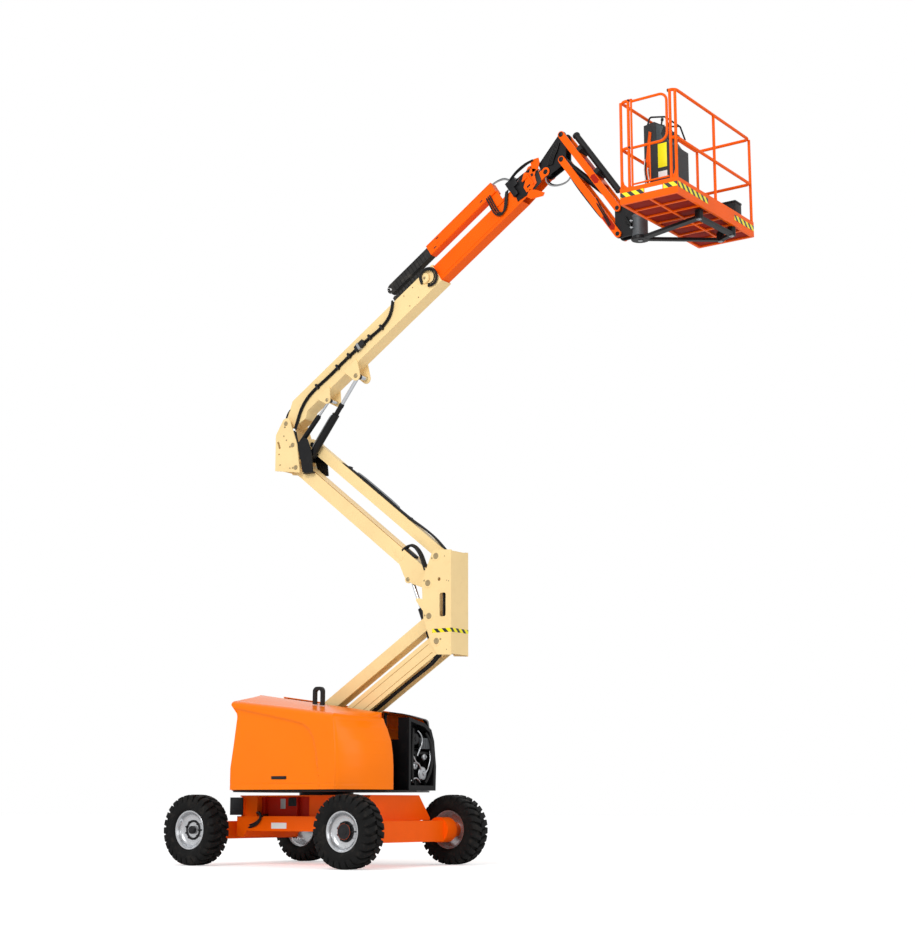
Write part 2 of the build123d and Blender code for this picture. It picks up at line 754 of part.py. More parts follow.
# ================================================================= upper riser
top_riser_half = 85
top_riser_height = 180
top_link_height = 140
top_link_low = 0
top_link_high = 90
upper_plane = member_plane(upper_lower_pin, upper_riser_angle)
open_end = 450
with BuildPart() as upper_riser:
    half = top_riser_height / 2
    side_bar(
        upper_plane,
        ((0, -half), (open_end, -half), (upper_riser_length, -half), (upper_riser_length, half), (0, half)),
        2 * top_riser_half,
    )
    side_bar(
        upper_plane,
        ((0, -half), (260, -170), (400, -170), (560, -half), (560, 0), (0, 0)),
        2 * top_riser_half,
    )
    cross_pin(tower_rod_pin, 45, -top_riser_half, top_riser_half)
    cross_pin(upper_lower_pin, half - 4, -top_riser_half, top_riser_half)
    cross_pin(top_lower_pin, half - 4, -top_riser_half, top_riser_half)
    side_bar(
        upper_plane,
        ((-200, -300), (open_end - 20, -300), (open_end - 20, half - 12), (-200, half - 12)),
        2 * (top_riser_half - 20),
        mode=Mode.SUBTRACT,
    )
    side_bar(
        upper_plane,
        ((open_end, -half + 10), (upper_riser_length - 150, -half + 10),
         (upper_riser_length - 150, half - 10), (open_end, half - 10)),
        2 * (top_riser_half - 10),
        mode=Mode.SUBTRACT,
    )
    for pin in (upper_lower_pin, top_lower_pin):
        cross_pin(pin, pin_radius + pin_gap, -200, 200, mode=Mode.SUBTRACT)
finish(upper_riser, "upper_riser")

top_link_plane = member_plane(upper_link_pin, upper_riser_angle)
with BuildPart() as upper_riser_link:
    half = top_link_height / 2
    slab(top_link_plane, ((0, -half), (upper_riser_length, -half), (upper_riser_length, half), (0, half)),
         top_link_low, top_link_high)
    slab(top_link_plane, ((150, -half + 8), (upper_riser_length - 150, -half + 8),
                          (upper_riser_length - 150, half - 8), (150, half - 8)),
         top_link_low + 8, top_link_high - 8, mode=Mode.SUBTRACT)
    for pin in (upper_link_pin, top_link_pin):
        cross_pin(pin, half, top_link_low, top_link_high)
        cross_pin(pin, pin_radius + pin_gap, -200, 200, mode=Mode.SUBTRACT)
finish(upper_riser_link, "upper_riser_link")

# The upper upright is two cheeks with a back web. It carries the boom and both cylinders.
with BuildPart() as upper_upright:
    for side in (-1, 1):
        low, high = sorted((side * tower_half_width, side * upright_inner))
        hull_slab(
            (
                (boom_pin[0], boom_pin[1], 70),
                (-775, 5385, 8),
                (-775, 4925, 8),
                (-385, 4870, 12),
                (-440, 5230, 12),
            ),
            low,
            high,
        )
        hull_slab(((-742, 5285, 16), (-715, 5215, 16)), low - 5, high + 5, mode=Mode.SUBTRACT)
        cross_pin((-724, 5130), 12, low - 5, high + 5, mode=Mode.SUBTRACT)
    block(-780, -768, -tower_half_width, tower_half_width, 4935, 5380)
    cross_pin(boom_pin, pin_radius, -tower_half_width, tower_half_width)
    cross_pin(top_lower_pin, pin_radius, -tower_half_width, tower_half_width)
    cross_pin(master_base_pin, 20, -tower_half_width, -6)
finish(upper_upright, "upper_upright")

# Black brackets between the cheeks hold the lift cylinder's base pin and the upper link's pin.
with BuildPart() as cylinder_bracket:
    for low, high in ((-160, -143), (143, 160)):
        hull_slab(
            (
                (lift_base_pin[0], lift_base_pin[1], 55),
                (-330, 4870, 12),
                (-180, 4850, 12),
                (-400, 5240, 12),
                (top_link_pin[0], top_link_pin[1], 60),
            ),
            low,
            high,
        )
    cross_pin(lift_base_pin, 24, -143, -6)
    cross_pin(top_link_pin, pin_radius, -6, 160)
    block(-330, -180, -160, -95, 4838, 4852)
    block(-394, -374, -160, 160, 5030, 5150)
finish(cylinder_bracket, "cylinder_bracket")


# ================================================================= cylinders under the boom
# name, base pin, rod end, lane, barrel length and radius, length and radius of its slender nose,
# rod radius and start, base eye radius, base pin radius, cross bar radius and its low and high end
level_eye = along(level_pin, boom_angle, 0, level_arm)
level_base = along(level_pin, boom_angle, -600, 40)
jib_eye = along(jib_upper_pin, jib_angle, 1100)
cylinders = (
    ("lift", lift_base_pin, lift_rod_pin, cylinder_lane, 602, 48, 160, 31, 24, 403, 46, 24, 28, -92, 92),
    ("master", master_base_pin, master_rod_pin, cylinder_lane, 480, 32, 20, 24, 16, 255, 32, 20, 20, -92, 92),
    ("slave", level_base, level_eye, 0, 460, 30, 20, 22, 14, 160, 30, 18, 18, -40, 40),
    ("jib_lift", jib_lower_pin, jib_eye, 0, 750, 38, 30, 28, 18, 120, 44, 25, 20, -68, 68),
)
for (name, base, tip, lane, barrel_length, barrel_radius, nose_length, nose_radius, rod_radius, rod_start,
     eye_radius, eye_pin, bar_radius, bar_low, bar_high) in cylinders:
    angle = degrees(atan2(tip[1] - base[1], tip[0] - base[0]))
    with BuildPart() as barrel:
        rod_between(base, along(base, angle, barrel_length), barrel_radius, lane)
        rod_between(base, along(base, angle, barrel_length + nose_length), nose_radius, lane)
        cross_pin(base, eye_radius, lane - barrel_radius, lane + barrel_radius)
        rod_between(along(base, angle, eye_radius), along(base, angle, barrel_length + nose_length + 5),
                    rod_radius + 1, lane, mode=Mode.SUBTRACT)
        cross_pin(base, eye_pin + pin_gap, lane - 100, lane + 100, mode=Mode.SUBTRACT)
    finish(barrel, name + "_barrel")
    with BuildPart() as rod:
        rod_between(along(base, angle, rod_start), tip, rod_radius, lane)
        cross_pin(tip, bar_radius, bar_low, bar_high)
    finish(rod, name + "_rod")

# ================================================================= main boom
boom_plane = member_plane(boom_pin, boom_angle)
pad_start = boom_length - 90
pad_end = boom_length - 10
with BuildPart() as main_boom:
    side_bar(
        boom_plane,
        ((250, boom_bottom), (boom_length, boom_bottom), (boom_length, boom_top), (250, boom_top)),
        2 * boom_half_width,
    )
    side_bar(
        boom_plane,
        ((-40, -60), (250, -100), (320, boom_bottom), (320, boom_top), (200, boom_top), (-40, 60)),
        2 * boom_half_width,
    )
    cross_pin(boom_pin, 72, -boom_half_width, boom_half_width)
    side_bar(
        boom_plane,
        ((-200, -200), (230, -200), (230, 600), (-200, 600)),
        2 * (boom_half_width - 15),
        mode=Mode.SUBTRACT,
    )
    side_bar(
        boom_plane,
        ((260, boom_bottom + boom_wall), (boom_length + 10, boom_bottom + boom_wall),
         (boom_length + 10, boom_top - boom_wall), (260, boom_top - boom_wall)),
        2 * (boom_half_width - boom_wall),
        mode=Mode.SUBTRACT,
    )
    cross_pin(boom_pin, pin_radius + pin_gap, -200, 200, mode=Mode.SUBTRACT)
    side_bar(
        boom_plane,
        ((pad_start, boom_bottom + boom_wall), (pad_end, boom_bottom + boom_wall), (pad_end, boom_top - boom_wall),
         (pad_start, boom_top - boom_wall)),
        2 * (boom_half_width - boom_wall),
    )
    side_bar(
        boom_plane,
        ((pad_start - 5, fly_bottom - running_gap), (pad_end + 5, fly_bottom - running_gap),
         (pad_end + 5, fly_top + running_gap), (pad_start - 5, fly_top + running_gap)),
        2 * (fly_half_width + running_gap),
        mode=Mode.SUBTRACT,
    )
    cross_pin(along(boom_pin, boom_angle, 2670, 150), 66, -boom_half_width - 22, -boom_half_width)
    for pin, radius in ((lift_rod_pin, 62), (master_rod_pin, 48)):
        run = (pin[0] - boom_pin[0]) * cos(radians(boom_angle)) + (pin[1] - boom_pin[1]) * sin(radians(boom_angle))
        root = along(boom_pin, boom_angle, run - 110, boom_bottom + 5)
        tip = along(boom_pin, boom_angle, run + 110, boom_bottom + 5)
        for side in (-1, 1):
            low, high = sorted((side * 98, side * 113))
            hull_slab(((pin[0], pin[1], radius), (root[0], root[1], 5), (tip[0], tip[1], 5)), low, high)
            low, high = sorted((side * 98, side * 113))
            slab(boom_plane, ((run - 115, boom_bottom), (run + 115, boom_bottom), (run + 115, boom_bottom + 40),
                              (run - 115, boom_bottom + 40)), low, high)
finish(main_boom, "main_boom")

# Fixed half of the cable carrier on the boom's top: a chain of plastic links.
link_pitch = 55
carrier_start = 2150
carrier_links = 10
with BuildPart() as cable_carrier:
    carrier_end = carrier_start + link_pitch * carrier_links
    slab(boom_plane, ((carrier_start, boom_top), (carrier_end, boom_top), (carrier_end, boom_top + 60),
                      (carrier_start, boom_top + 60)), -90, -10)
    for i in range(1, carrier_links):
        run = carrier_start + link_pitch * i
        slab(boom_plane, ((run - 4, boom_top + 8), (run + 4, boom_top + 8), (run + 4, boom_top + 70),
                          (run - 4, boom_top + 70)), -95, -84, mode=Mode.SUBTRACT)
finish(cable_carrier, "cable_carrier")

fly_rear = 1600
fly_head = 4000
fly_shoulder = 4250
with BuildPart() as fly_boom:
    side_bar(
        boom_plane,
        ((fly_rear, fly_bottom), (fly_shoulder, fly_bottom), (fly_tip, fly_bottom + 30), (fly_tip, fly_bottom + 118),
         (fly_shoulder, fly_top), (fly_rear, fly_top)),
        2 * fly_half_width,
    )
    cross_pin(level_pin, 55, -fly_half_width, fly_half_width)
    side_bar(
        boom_plane,
        ((fly_rear - 10, fly_bottom + 8), (fly_shoulder, fly_bottom + 8), (fly_shoulder, fly_bottom - 20),
         (fly_tip + 100, fly_bottom - 20), (fly_tip + 100, fly_top + 20), (fly_head, fly_top + 20),
         (fly_head, fly_top - 8), (fly_rear - 10, fly_top - 8)),
        2 * (fly_half_width - 8),
        mode=Mode.SUBTRACT,
    )
    cross_pin(level_pin, pin_radius + pin_gap, -200, 200, mode=Mode.SUBTRACT)
    cross_pin(level_base, 18, -fly_half_width, fly_half_width)
    for side in (-1, 1):
        low, high = sorted((side * (fly_half_width - 3), side * (fly_half_width + 3)))
        slab(boom_plane, ((2900, 14), (3950, 14), (3950, 22), (2900, 22)), low, high, mode=Mode.SUBTRACT)
        low, high = sorted((side * (fly_half_width - 8), side * fly_half_width))
        slab(boom_plane, ((4270, 100), (4270, 215), (4400, 262), (4440, 230), (4540, 285), (4600, 265), (4570, 90)),
             low, high)
finish(fly_boom, "fly_boom")

# Moving half: an orange tray beam held over the boom by a bracket on the fly's head.
tray_bottom = 340
tray_top = 490
with BuildPart() as cable_tray:
    slab(boom_plane, ((2900, tray_bottom), (4050, tray_bottom), (4050, tray_top), (2900, tray_top)), -110, 0)
    slab(boom_plane, ((2200, tray_bottom), (2900, tray_bottom), (2900, tray_top - 20), (2200, tray_top - 20)),
         -100, -10)
    for i in range(1, 12):
        run = 2200 + link_pitch * i
        slab(boom_plane, ((run - 4, tray_bottom - 5), (run + 4, tray_bottom - 5), (run + 4, tray_top - 28),
                          (run - 4, tray_top - 28)), -105, -94, mode=Mode.SUBTRACT)
    slab(boom_plane, ((3880, fly_top - 40), (4060, fly_top - 40), (4060, tray_bottom + 5), (3880, tray_bottom + 5)),
         -92, -fly_half_width)
finish(cable_tray, "cable_tray")

# ================================================================= boom tip and jib
# Two bracket plates stay level on the fly's tip and carry the jib's two links.
tip_plates = ((-66, -46), (46, 66))
with BuildPart() as boom_tip:
    for low, high in tip_plates:
        hull_slab(
            (
                (level_pin[0], level_pin[1], 55),
                (level_eye[0], level_eye[1], 30),
                (jib_lower_pin[0], jib_lower_pin[1], 45),
                (jib_upper_pin[0], jib_upper_pin[1], 45),
            ),
            low,
            high,
        )
    block(jib_lower_pin[0] - 135, jib_lower_pin[0] - 115, -50, 50, jib_lower_pin[1] - 70,
          jib_lower_pin[1] + 100)
    cross_pin(level_pin, pin_radius, -fly_half_width, fly_half_width)
    cross_pin(jib_lower_pin, 25, -100, 100)
    cross_pin(jib_upper_pin, 25, -100, 100)
finish(boom_tip, "boom_tip")

jib_lower_end = along(jib_lower_pin, jib_angle, jib_length)
jib_upper_end = along(jib_upper_pin, jib_angle, jib_length)
for name, start, end in (("jib_lower", jib_lower_pin, jib_lower_end), ("jib_upper", jib_upper_pin, jib_upper_end)):
    with BuildPart() as jib:
        jib_plane = member_plane(start, jib_angle)
        for low, high in ((-95, -75), (75, 95)):
            hull_slab(((start[0], start[1], 42), (end[0], end[1], 42)), low, high)
        low = -42 if name == "jib_lower" else 32
        side_bar(jib_plane, ((350, low), (900, low), (900, low + 10), (350, low + 10)), 160)
        for pin in (start, end):
            cross_pin(pin, 26, -200, 200, mode=Mode.SUBTRACT)
    finish(jib, name)

# Black hose tube carried over the upper link.
with BuildPart() as hose_tube:
    rod_between(along(jib_upper_pin, jib_angle, 120, 118), along(jib_upper_pin, jib_angle, 1080, 118), 38, 0)
    for run in (300, 700):
        jib_plane = member_plane(jib_upper_pin, jib_angle)
        side_bar(jib_plane, ((run, 42), (run + 60, 42), (run + 60, 100), (run, 100)), 190)
finish(hose_tube, "hose_tube")

with BuildPart() as jib_end:
    for low, high in tip_plates:
        hull_slab(
            (
                (jib_lower_end[0], jib_lower_end[1], 45),
                (jib_upper_end[0], jib_upper_end[1], 45),
                (rotator_x - 60, jib_lower_end[1], 40),
                (rotator_x - 60, jib_upper_end[1], 40),
            ),
            low,
            high,
        )
    cross_pin(jib_lower_end, 25, -100, 100)
    cross_pin(jib_upper_end, 25, -100, 100)
    with Locations((rotator_x, 0, platform_floor_z + 80)):
        Cylinder(90, 270)
    with Locations((rotator_x, 0, platform_floor_z - 70)):
        Cylinder(30, 60)
finish(jib_end, "jib_end")

# ================================================================= platform
# Three bars spread from the rotator to pads under the floor.
support_low = platform_floor_z - 96
support_high = platform_floor_z - 64
support_pads = ((platform_front - 90, -270), (platform_front - 60, 460), (platform_front - 250, 560))
with BuildPart() as platform_support:
    with Locations((rotator_x, 0, support_low + 16)):
        Cylinder(90, 36)
    beam((rotator_x, 0), support_pads[0], 84, support_low, support_high)
    beam(support_pads[0], support_pads[1], 70, support_low, support_high)
    beam((rotator_x, 0), support_pads[2], 60, support_low, support_high)
    beam(support_pads[2], support_pads[1], 60, support_low, support_high)
    with Locations((rotator_x, 0, support_low + 16)):
        Cylinder(30 + running_gap, 60, mode=Mode.SUBTRACT)
    for x, y in support_pads:
        with Locations((x, y, (support_low + platform_floor_z) / 2)):
            Cylinder(46, platform_floor_z - support_low)
finish(platform_support, "platform_support")

# The floor is a tray with toe boards. Its underside is ribbed in two rows of panels.
rib = 26
panel_rows = 2
panel_columns = 7
panel_width = (platform_front - platform_rear - 2 * 30 - rib * (panel_rows - 1)) / panel_rows
panel_length = (2 * platform_half_length - 2 * 30 - rib * (panel_columns - 1)) / panel_columns
with BuildPart() as platform_floor:
    block(platform_rear, platform_front, -platform_half_length, platform_half_length,
          platform_floor_z, platform_floor_z + toe_board)
    block(platform_rear + 6, platform_front - 6, -platform_half_length + 6, platform_half_length - 6,
          platform_floor_z + 30, platform_floor_z + toe_board + 5, mode=Mode.SUBTRACT)
    for row in range(panel_rows):
        for column in range(panel_columns):
            x = platform_rear + 30 + row * (panel_width + rib)
            y = -platform_half_length + 30 + column * (panel_length + rib)
            block(x, x + panel_width, y, y + panel_length, platform_floor_z - 5, platform_floor_z + 18,
                  mode=Mode.SUBTRACT)
finish(platform_floor, "platform_floor")

rail_top_z = platform_floor_z + 1204
mid_rail_z = platform_floor_z + 640
rail_base_z = platform_floor_z + toe_board
rear_x = platform_rear + rail_radius
front_x = platform_front - rail_radius
side_y = platform_half_length - rail_radius
gate_low_x = 4920
gate_high_x = 5400
gate_gap = 8
gate_hinge_x = gate_low_x + gate_gap + 12
gate_pin_radius = 5
post_half = 15
with BuildPart() as guard_rails:
    for x, y in ((rear_x, -side_y), (front_x, -side_y), (front_x, side_y), (rear_x, side_y), (rear_x, 0),
                 (front_x, 0), (gate_low_x - rail_radius, -side_y), (gate_high_x + rail_radius, -side_y)):
        block(x - post_half, x + post_half, y - post_half, y + post_half, rail_base_z, rail_top_z - rail_radius)
    for z in (mid_rail_z, rail_top_z - rail_radius):
        tube(
            Plane.XY.offset(z),
            ((gate_high_x, -side_y), (front_x, -side_y), (front_x, side_y), (rear_x, side_y), (rear_x, -side_y),
             (gate_low_x, -side_y)),
            rail_radius,
            60,
        )
    for low, high in ((rail_base_z + 2, rail_base_z + 12), (rail_top_z - 16, rail_top_z - 6)):
        block(gate_low_x - 10, gate_hinge_x + 12, -side_y - 12, -side_y + 12, low, high)
    for z in (rail_base_z + 22, rail_top_z - 26):
        with Locations((gate_hinge_x, -side_y, z)):
            Cylinder(gate_pin_radius, 40)
finish(guard_rails, "guard_rails")

# The gate is a rounded loop on a hinge post. It swings inward on the rear of its two posts.
loop_bottom = mid_rail_z - 10
loop_top = rail_top_z - 34
with BuildPart() as gate:
    block(gate_hinge_x - 12, gate_hinge_x + 12, -side_y - 12, -side_y + 12, rail_base_z + 20, rail_top_z - 20)
    tube(
        upright_plane(-side_y),
        ((gate_hinge_x, loop_bottom), (gate_high_x - gate_gap - 15, loop_bottom),
         (gate_high_x - gate_gap - 15, loop_top), (gate_hinge_x, loop_top)),
        15,
        90,
    )
    block(gate_hinge_x, gate_high_x - gate_gap, -side_y - 10, -side_y + 10, rail_base_z + 22, rail_base_z + 42)
    with Locations((gate_hinge_x, -side_y, (rail_base_z + rail_top_z) / 2)):
        Cylinder(gate_pin_radius + running_gap, 1100, mode=Mode.SUBTRACT)
finish(gate, "gate")

# The control console stands inside the rear rails: a cabinet with a sloping panel over it.
console_rear = rear_x + rail_radius + running_gap
with BuildPart() as console:
    cabinet = Plane(origin=(console_rear, 0, platform_floor_z + 270), x_dir=(1, 0, 0), z_dir=(0, -1, 0))
    slab(
        cabinet,
        ((0, 0), (264, 0), (314, 60), (314, 530), (234, 660), (264, 740), (134, 820), (0, 800)),
        -420,
        -60,
    )
    slab(cabinet, ((234, 80), (374, 100), (374, 500), (234, 530)), -400, -80)
finish(console, "console")
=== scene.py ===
import json
import math
import bpy
import bmesh
from mathutils import Matrix, Vector
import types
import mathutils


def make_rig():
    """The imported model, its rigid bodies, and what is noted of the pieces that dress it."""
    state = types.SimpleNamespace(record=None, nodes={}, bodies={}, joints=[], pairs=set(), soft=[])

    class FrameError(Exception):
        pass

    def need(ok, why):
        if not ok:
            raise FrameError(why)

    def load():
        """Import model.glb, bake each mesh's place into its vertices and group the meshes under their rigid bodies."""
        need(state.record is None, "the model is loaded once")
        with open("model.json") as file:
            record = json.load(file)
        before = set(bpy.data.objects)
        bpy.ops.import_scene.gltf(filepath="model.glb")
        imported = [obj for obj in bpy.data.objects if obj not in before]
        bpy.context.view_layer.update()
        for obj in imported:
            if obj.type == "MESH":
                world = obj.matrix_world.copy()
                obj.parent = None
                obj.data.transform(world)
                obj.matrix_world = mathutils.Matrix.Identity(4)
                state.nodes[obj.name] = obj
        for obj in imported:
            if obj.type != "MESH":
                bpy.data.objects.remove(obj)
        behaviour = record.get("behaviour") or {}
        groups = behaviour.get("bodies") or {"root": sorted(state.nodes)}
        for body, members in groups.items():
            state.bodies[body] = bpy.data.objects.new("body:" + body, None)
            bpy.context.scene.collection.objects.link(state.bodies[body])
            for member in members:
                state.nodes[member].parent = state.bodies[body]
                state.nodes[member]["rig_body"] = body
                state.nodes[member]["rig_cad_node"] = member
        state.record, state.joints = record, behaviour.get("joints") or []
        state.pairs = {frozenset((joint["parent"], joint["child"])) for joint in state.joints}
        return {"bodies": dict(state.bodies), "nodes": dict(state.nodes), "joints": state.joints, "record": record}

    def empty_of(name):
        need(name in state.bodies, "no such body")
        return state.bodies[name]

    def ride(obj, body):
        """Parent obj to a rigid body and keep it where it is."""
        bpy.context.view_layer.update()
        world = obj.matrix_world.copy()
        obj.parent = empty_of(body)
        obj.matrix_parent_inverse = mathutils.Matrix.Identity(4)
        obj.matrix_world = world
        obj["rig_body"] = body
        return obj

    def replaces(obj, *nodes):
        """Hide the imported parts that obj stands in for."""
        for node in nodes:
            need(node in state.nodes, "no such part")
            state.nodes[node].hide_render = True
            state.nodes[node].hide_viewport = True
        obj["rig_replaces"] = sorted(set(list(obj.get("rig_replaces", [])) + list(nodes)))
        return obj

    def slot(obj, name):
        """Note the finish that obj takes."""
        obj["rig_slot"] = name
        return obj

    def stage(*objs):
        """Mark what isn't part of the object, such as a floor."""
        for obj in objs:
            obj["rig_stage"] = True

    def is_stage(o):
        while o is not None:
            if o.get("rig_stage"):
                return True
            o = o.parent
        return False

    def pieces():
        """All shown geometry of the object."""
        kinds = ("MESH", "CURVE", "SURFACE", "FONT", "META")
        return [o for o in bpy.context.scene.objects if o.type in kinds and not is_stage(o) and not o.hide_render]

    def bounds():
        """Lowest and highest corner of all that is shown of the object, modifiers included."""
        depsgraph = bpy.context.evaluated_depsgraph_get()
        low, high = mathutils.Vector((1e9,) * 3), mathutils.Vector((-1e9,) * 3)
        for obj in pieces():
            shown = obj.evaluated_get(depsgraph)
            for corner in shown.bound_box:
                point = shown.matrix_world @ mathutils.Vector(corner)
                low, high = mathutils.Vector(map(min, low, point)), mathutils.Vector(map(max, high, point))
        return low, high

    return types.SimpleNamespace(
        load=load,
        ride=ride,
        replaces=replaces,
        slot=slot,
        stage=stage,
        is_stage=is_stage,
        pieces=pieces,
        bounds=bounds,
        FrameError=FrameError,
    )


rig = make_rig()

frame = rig.load()
nodes = frame["nodes"]
scene = bpy.context.scene


def write_size(name):
    low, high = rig.bounds()
    sizes = {}
    if name != "cad":
        with open("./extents.json") as handle:
            sizes = json.load(handle)
    sizes[name] = {"low": list(low), "high": list(high)}
    with open("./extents.json", "w") as handle:
        json.dump(sizes, handle, indent=1)


write_size("cad")

# ================================================================= chassis frame
# A box frame welded from thick steel plate and sprayed with orange enamel. Its sides are sunk
# between a lower beam and the top plate, and small plates, a louvre and a hose sit in the recess.
slot_of = {}


def linear(code):
    """Linear colour of an sRGB hex code."""
    values = [int(code[i:i + 2], 16) / 255 for i in (1, 3, 5)]
    return [v / 12.92 if v <= 0.04045 else ((v + 0.055) / 1.055) ** 2.4 for v in values] + [1.0]


def add(tree, kind, sockets=None, **settings):
    """Adds a node: small names set its properties, the others and the socket numbers feed its inputs."""
    node = tree.nodes.new(kind)
    inputs = dict(sockets or {})
    for name, value in settings.items():
        if name.islower():
            setattr(node, name, value)
        else:
            inputs[name.replace("_", " ")] = value
    for key, value in inputs.items():
        if isinstance(value, bpy.types.NodeSocket):
            tree.links.new(value, node.inputs[key])
        else:
            node.inputs[key].default_value = value
    return node


def surface(name, colour, roughness, slot="black_paint", shade=0.06, metallic=0.0, shine=0.25,
            grains_per_metre=400.0, relief=0.0, grime="#3A2A20", dirt=0.0):
    """Finish with a broad drift in shade, a fine grain in gloss and height, and dirt in patches."""
    drifts_per_metre, patches_per_metre = 2.3, 9.0
    grain_height = 0.002
    material = bpy.data.materials.new(name)
    material.use_nodes = True
    slot_of[material.name] = slot
    tree = material.node_tree
    shader = tree.nodes["Principled BSDF"].inputs
    shader["Metallic"].default_value = metallic
    shader["Specular IOR Level"].default_value = shine
    place = add(tree, "ShaderNodeTexCoord").outputs["Object"]
    drift = add(tree, "ShaderNodeTexNoise", Vector=place, Scale=drifts_per_metre, Detail=5.0).outputs["Fac"]
    fine = add(tree, "ShaderNodeTexNoise", Vector=place, Scale=grains_per_metre, Detail=2.0).outputs["Fac"]
    ramp = add(tree, "ShaderNodeValToRGB", Fac=drift)
    base = linear(colour)[:3]
    for stop, position, change in zip(ramp.color_ramp.elements, (0.3, 0.7), (1 - shade, 1 + shade)):
        stop.position = position
        stop.color = [min(1.0, c * change) for c in base] + [1.0]
    tint = ramp.outputs["Color"]
    if dirt:
        patches = add(tree, "ShaderNodeTexNoise", Vector=place, Scale=patches_per_metre, Detail=8.0,
                      Roughness=0.7)
        spread = add(tree, "ShaderNodeMapRange", Value=patches.outputs["Fac"], From_Min=0.52, From_Max=0.75,
                     To_Max=dirt)
        tint = add(tree, "ShaderNodeMix", {0: spread.outputs["Result"], 6: tint, 7: linear(grime)},
                   data_type="RGBA").outputs[2]
    tree.links.new(tint, shader["Base Color"])
    gloss = add(tree, "ShaderNodeMapRange", Value=fine, To_Min=max(0.02, roughness - 0.05),
                To_Max=min(1.0, roughness + 0.08))
    tree.links.new(gloss.outputs["Result"], shader["Roughness"])
    if relief:
        bump = add(tree, "ShaderNodeBump", Height=fine, Strength=relief, Distance=grain_height)
        tree.links.new(bump.outputs["Normal"], shader["Normal"])
    return material


# Two-pack enamel sprayed over primer: an even, glossy coat with a slight orange peel 2 to 3 mm
# across, and a film of dust in patches.
orange_enamel = surface("orange_enamel", "#FA6004", 0.34, "orange_paint", shine=0.10, relief=0.04,
                        dirt=0.06)
# Painted shade: the same orange enamel darkened to a dull dark red as it looks in a recess, with road dirt in patches.
painted_shade_enamel = surface("painted_shade_orange_enamel", "#A81C04", 0.5, "orange_paint", shade=0.12, shine=0.12,
                        dirt=0.25)
# Black enamel on castings and brackets: a satin coat with grey dust in patches.
black_enamel = surface("black_enamel", "#141416", 0.36, shine=0.18, relief=0.06, grime="#4A4540", dirt=0.12)
# Cast vinyl film: an even white with a low sheen.
white_vinyl = surface("white_vinyl", "#E8E8E6", 0.45, "cream_paint", shade=0.03)
# Anodised aluminium plate: matt grey with a faint metal glint.
grey_plate = surface("grey_anodised_plate", "#9A9C9C", 0.4, metallic=0.4)
# Extruded hose rubber: dull black with a grain of 1 to 2 mm, coarser than life so that it shows.
hose_rubber = surface("hose_rubber", "#111112", 0.5, shade=0.15, relief=0.15, grains_per_metre=700.0)
# Injection-moulded ABS: dark and satin, with a leather grain 1 mm across.
satin_plastic = surface("moulded_black_plastic", "#1A1B1D", 0.5, relief=0.2, grains_per_metre=900.0)
outward_near = (0, -1, 0)


def riding(piece, body, slot):
    """Puts a piece in the scene, on a body of the lift."""
    scene.collection.objects.link(piece)
    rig.ride(piece, body)
    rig.slot(piece, slot)
    return piece


def as_mesh(bm, edge=0.0):
    """Mesh of a built form, with its hard edges eased and its faces pointing out."""
    bmesh.ops.recalc_face_normals(bm, faces=bm.faces)
    if edge:
        hard = [e for e in bm.edges if e.is_manifold and e.calc_face_angle(0) > 0.6]
        bmesh.ops.bevel(bm, geom=hard, offset=edge, segments=2, profile=0.6, affect="EDGES",
                        clamp_overlap=True)
    mesh = bpy.data.meshes.new("form")
    bm.to_mesh(mesh)
    bm.free()
    return mesh


def finished(name, form, body, finish, edge=0.0, angle=32):
    """Piece from a built form or a mesh: flat and curved faces shaded as such, in one finish."""
    mesh = form if isinstance(form, bpy.types.Mesh) else as_mesh(form, edge)
    mesh.materials.clear()
    mesh.materials.append(finish)
    mesh.shade_smooth()
    mesh.set_sharp_from_angle(angle=math.radians(angle))
    return riding(bpy.data.objects.new(name, mesh), body, slot_of[finish.name])


def plate(bm, corners, low, high, place=Matrix()):
    """Flat plate: an outline in a member's (run, up) plane, between two values of Y."""
    rows = [[bm.verts.new(place @ Vector((run, y, up))) for run, up in corners] for y in (low, high)]
    bm.faces.new(rows[0])
    bm.faces.new(reversed(rows[1]))
    for i in range(len(corners)):
        bm.faces.new((rows[0][i - 1], rows[0][i], rows[1][i], rows[1][i - 1]))


def box(bm, x0, x1, y0, y1, z0, z1, place=Matrix()):
    """Block between pairs of values."""
    plate(bm, ((x0, z0), (x1, z0), (x1, z1), (x0, z1)), y0, y1, place)


def boxes(name, body, finish, sizes, place=Matrix(), edge=0.0):
    """Piece of blocks, each given by its low and high values."""
    bm = bmesh.new()
    for size in sizes:
        box(bm, *size, place)
    return finished(name, bm, body, finish, edge)


def turned(bm, start, direction, profile, sides=40, ring=False, place=Matrix()):
    """Turned part on an axis from (distance along it, radius) pairs, closed at both ends or as a ring."""
    axis = (place.to_3x3() @ Vector(direction)).normalized()
    frame_at = Matrix.Translation(place @ Vector(start)) @ axis.to_track_quat("Z", "Y").to_matrix().to_4x4()
    turns = [2 * math.pi * i / sides for i in range(sides)]
    rows = [[bm.verts.new(frame_at @ Vector((radius * math.cos(a), radius * math.sin(a), reach)))
             for a in turns] for reach, radius in profile]
    pairs = list(zip(rows, rows[1:]))
    if ring:
        pairs.append((rows[-1], rows[0]))
    else:
        bm.faces.new(reversed(rows[0]))
        bm.faces.new(rows[-1])
    for low, high in pairs:
        for i in range(sides):
            bm.faces.new((low[i - 1], low[i], high[i], high[i - 1]))


def on_near(points, y):
    """Starts and directions of turned parts on the near side at -y."""
    return [((x, -y, z), outward_near) for x, z in points]


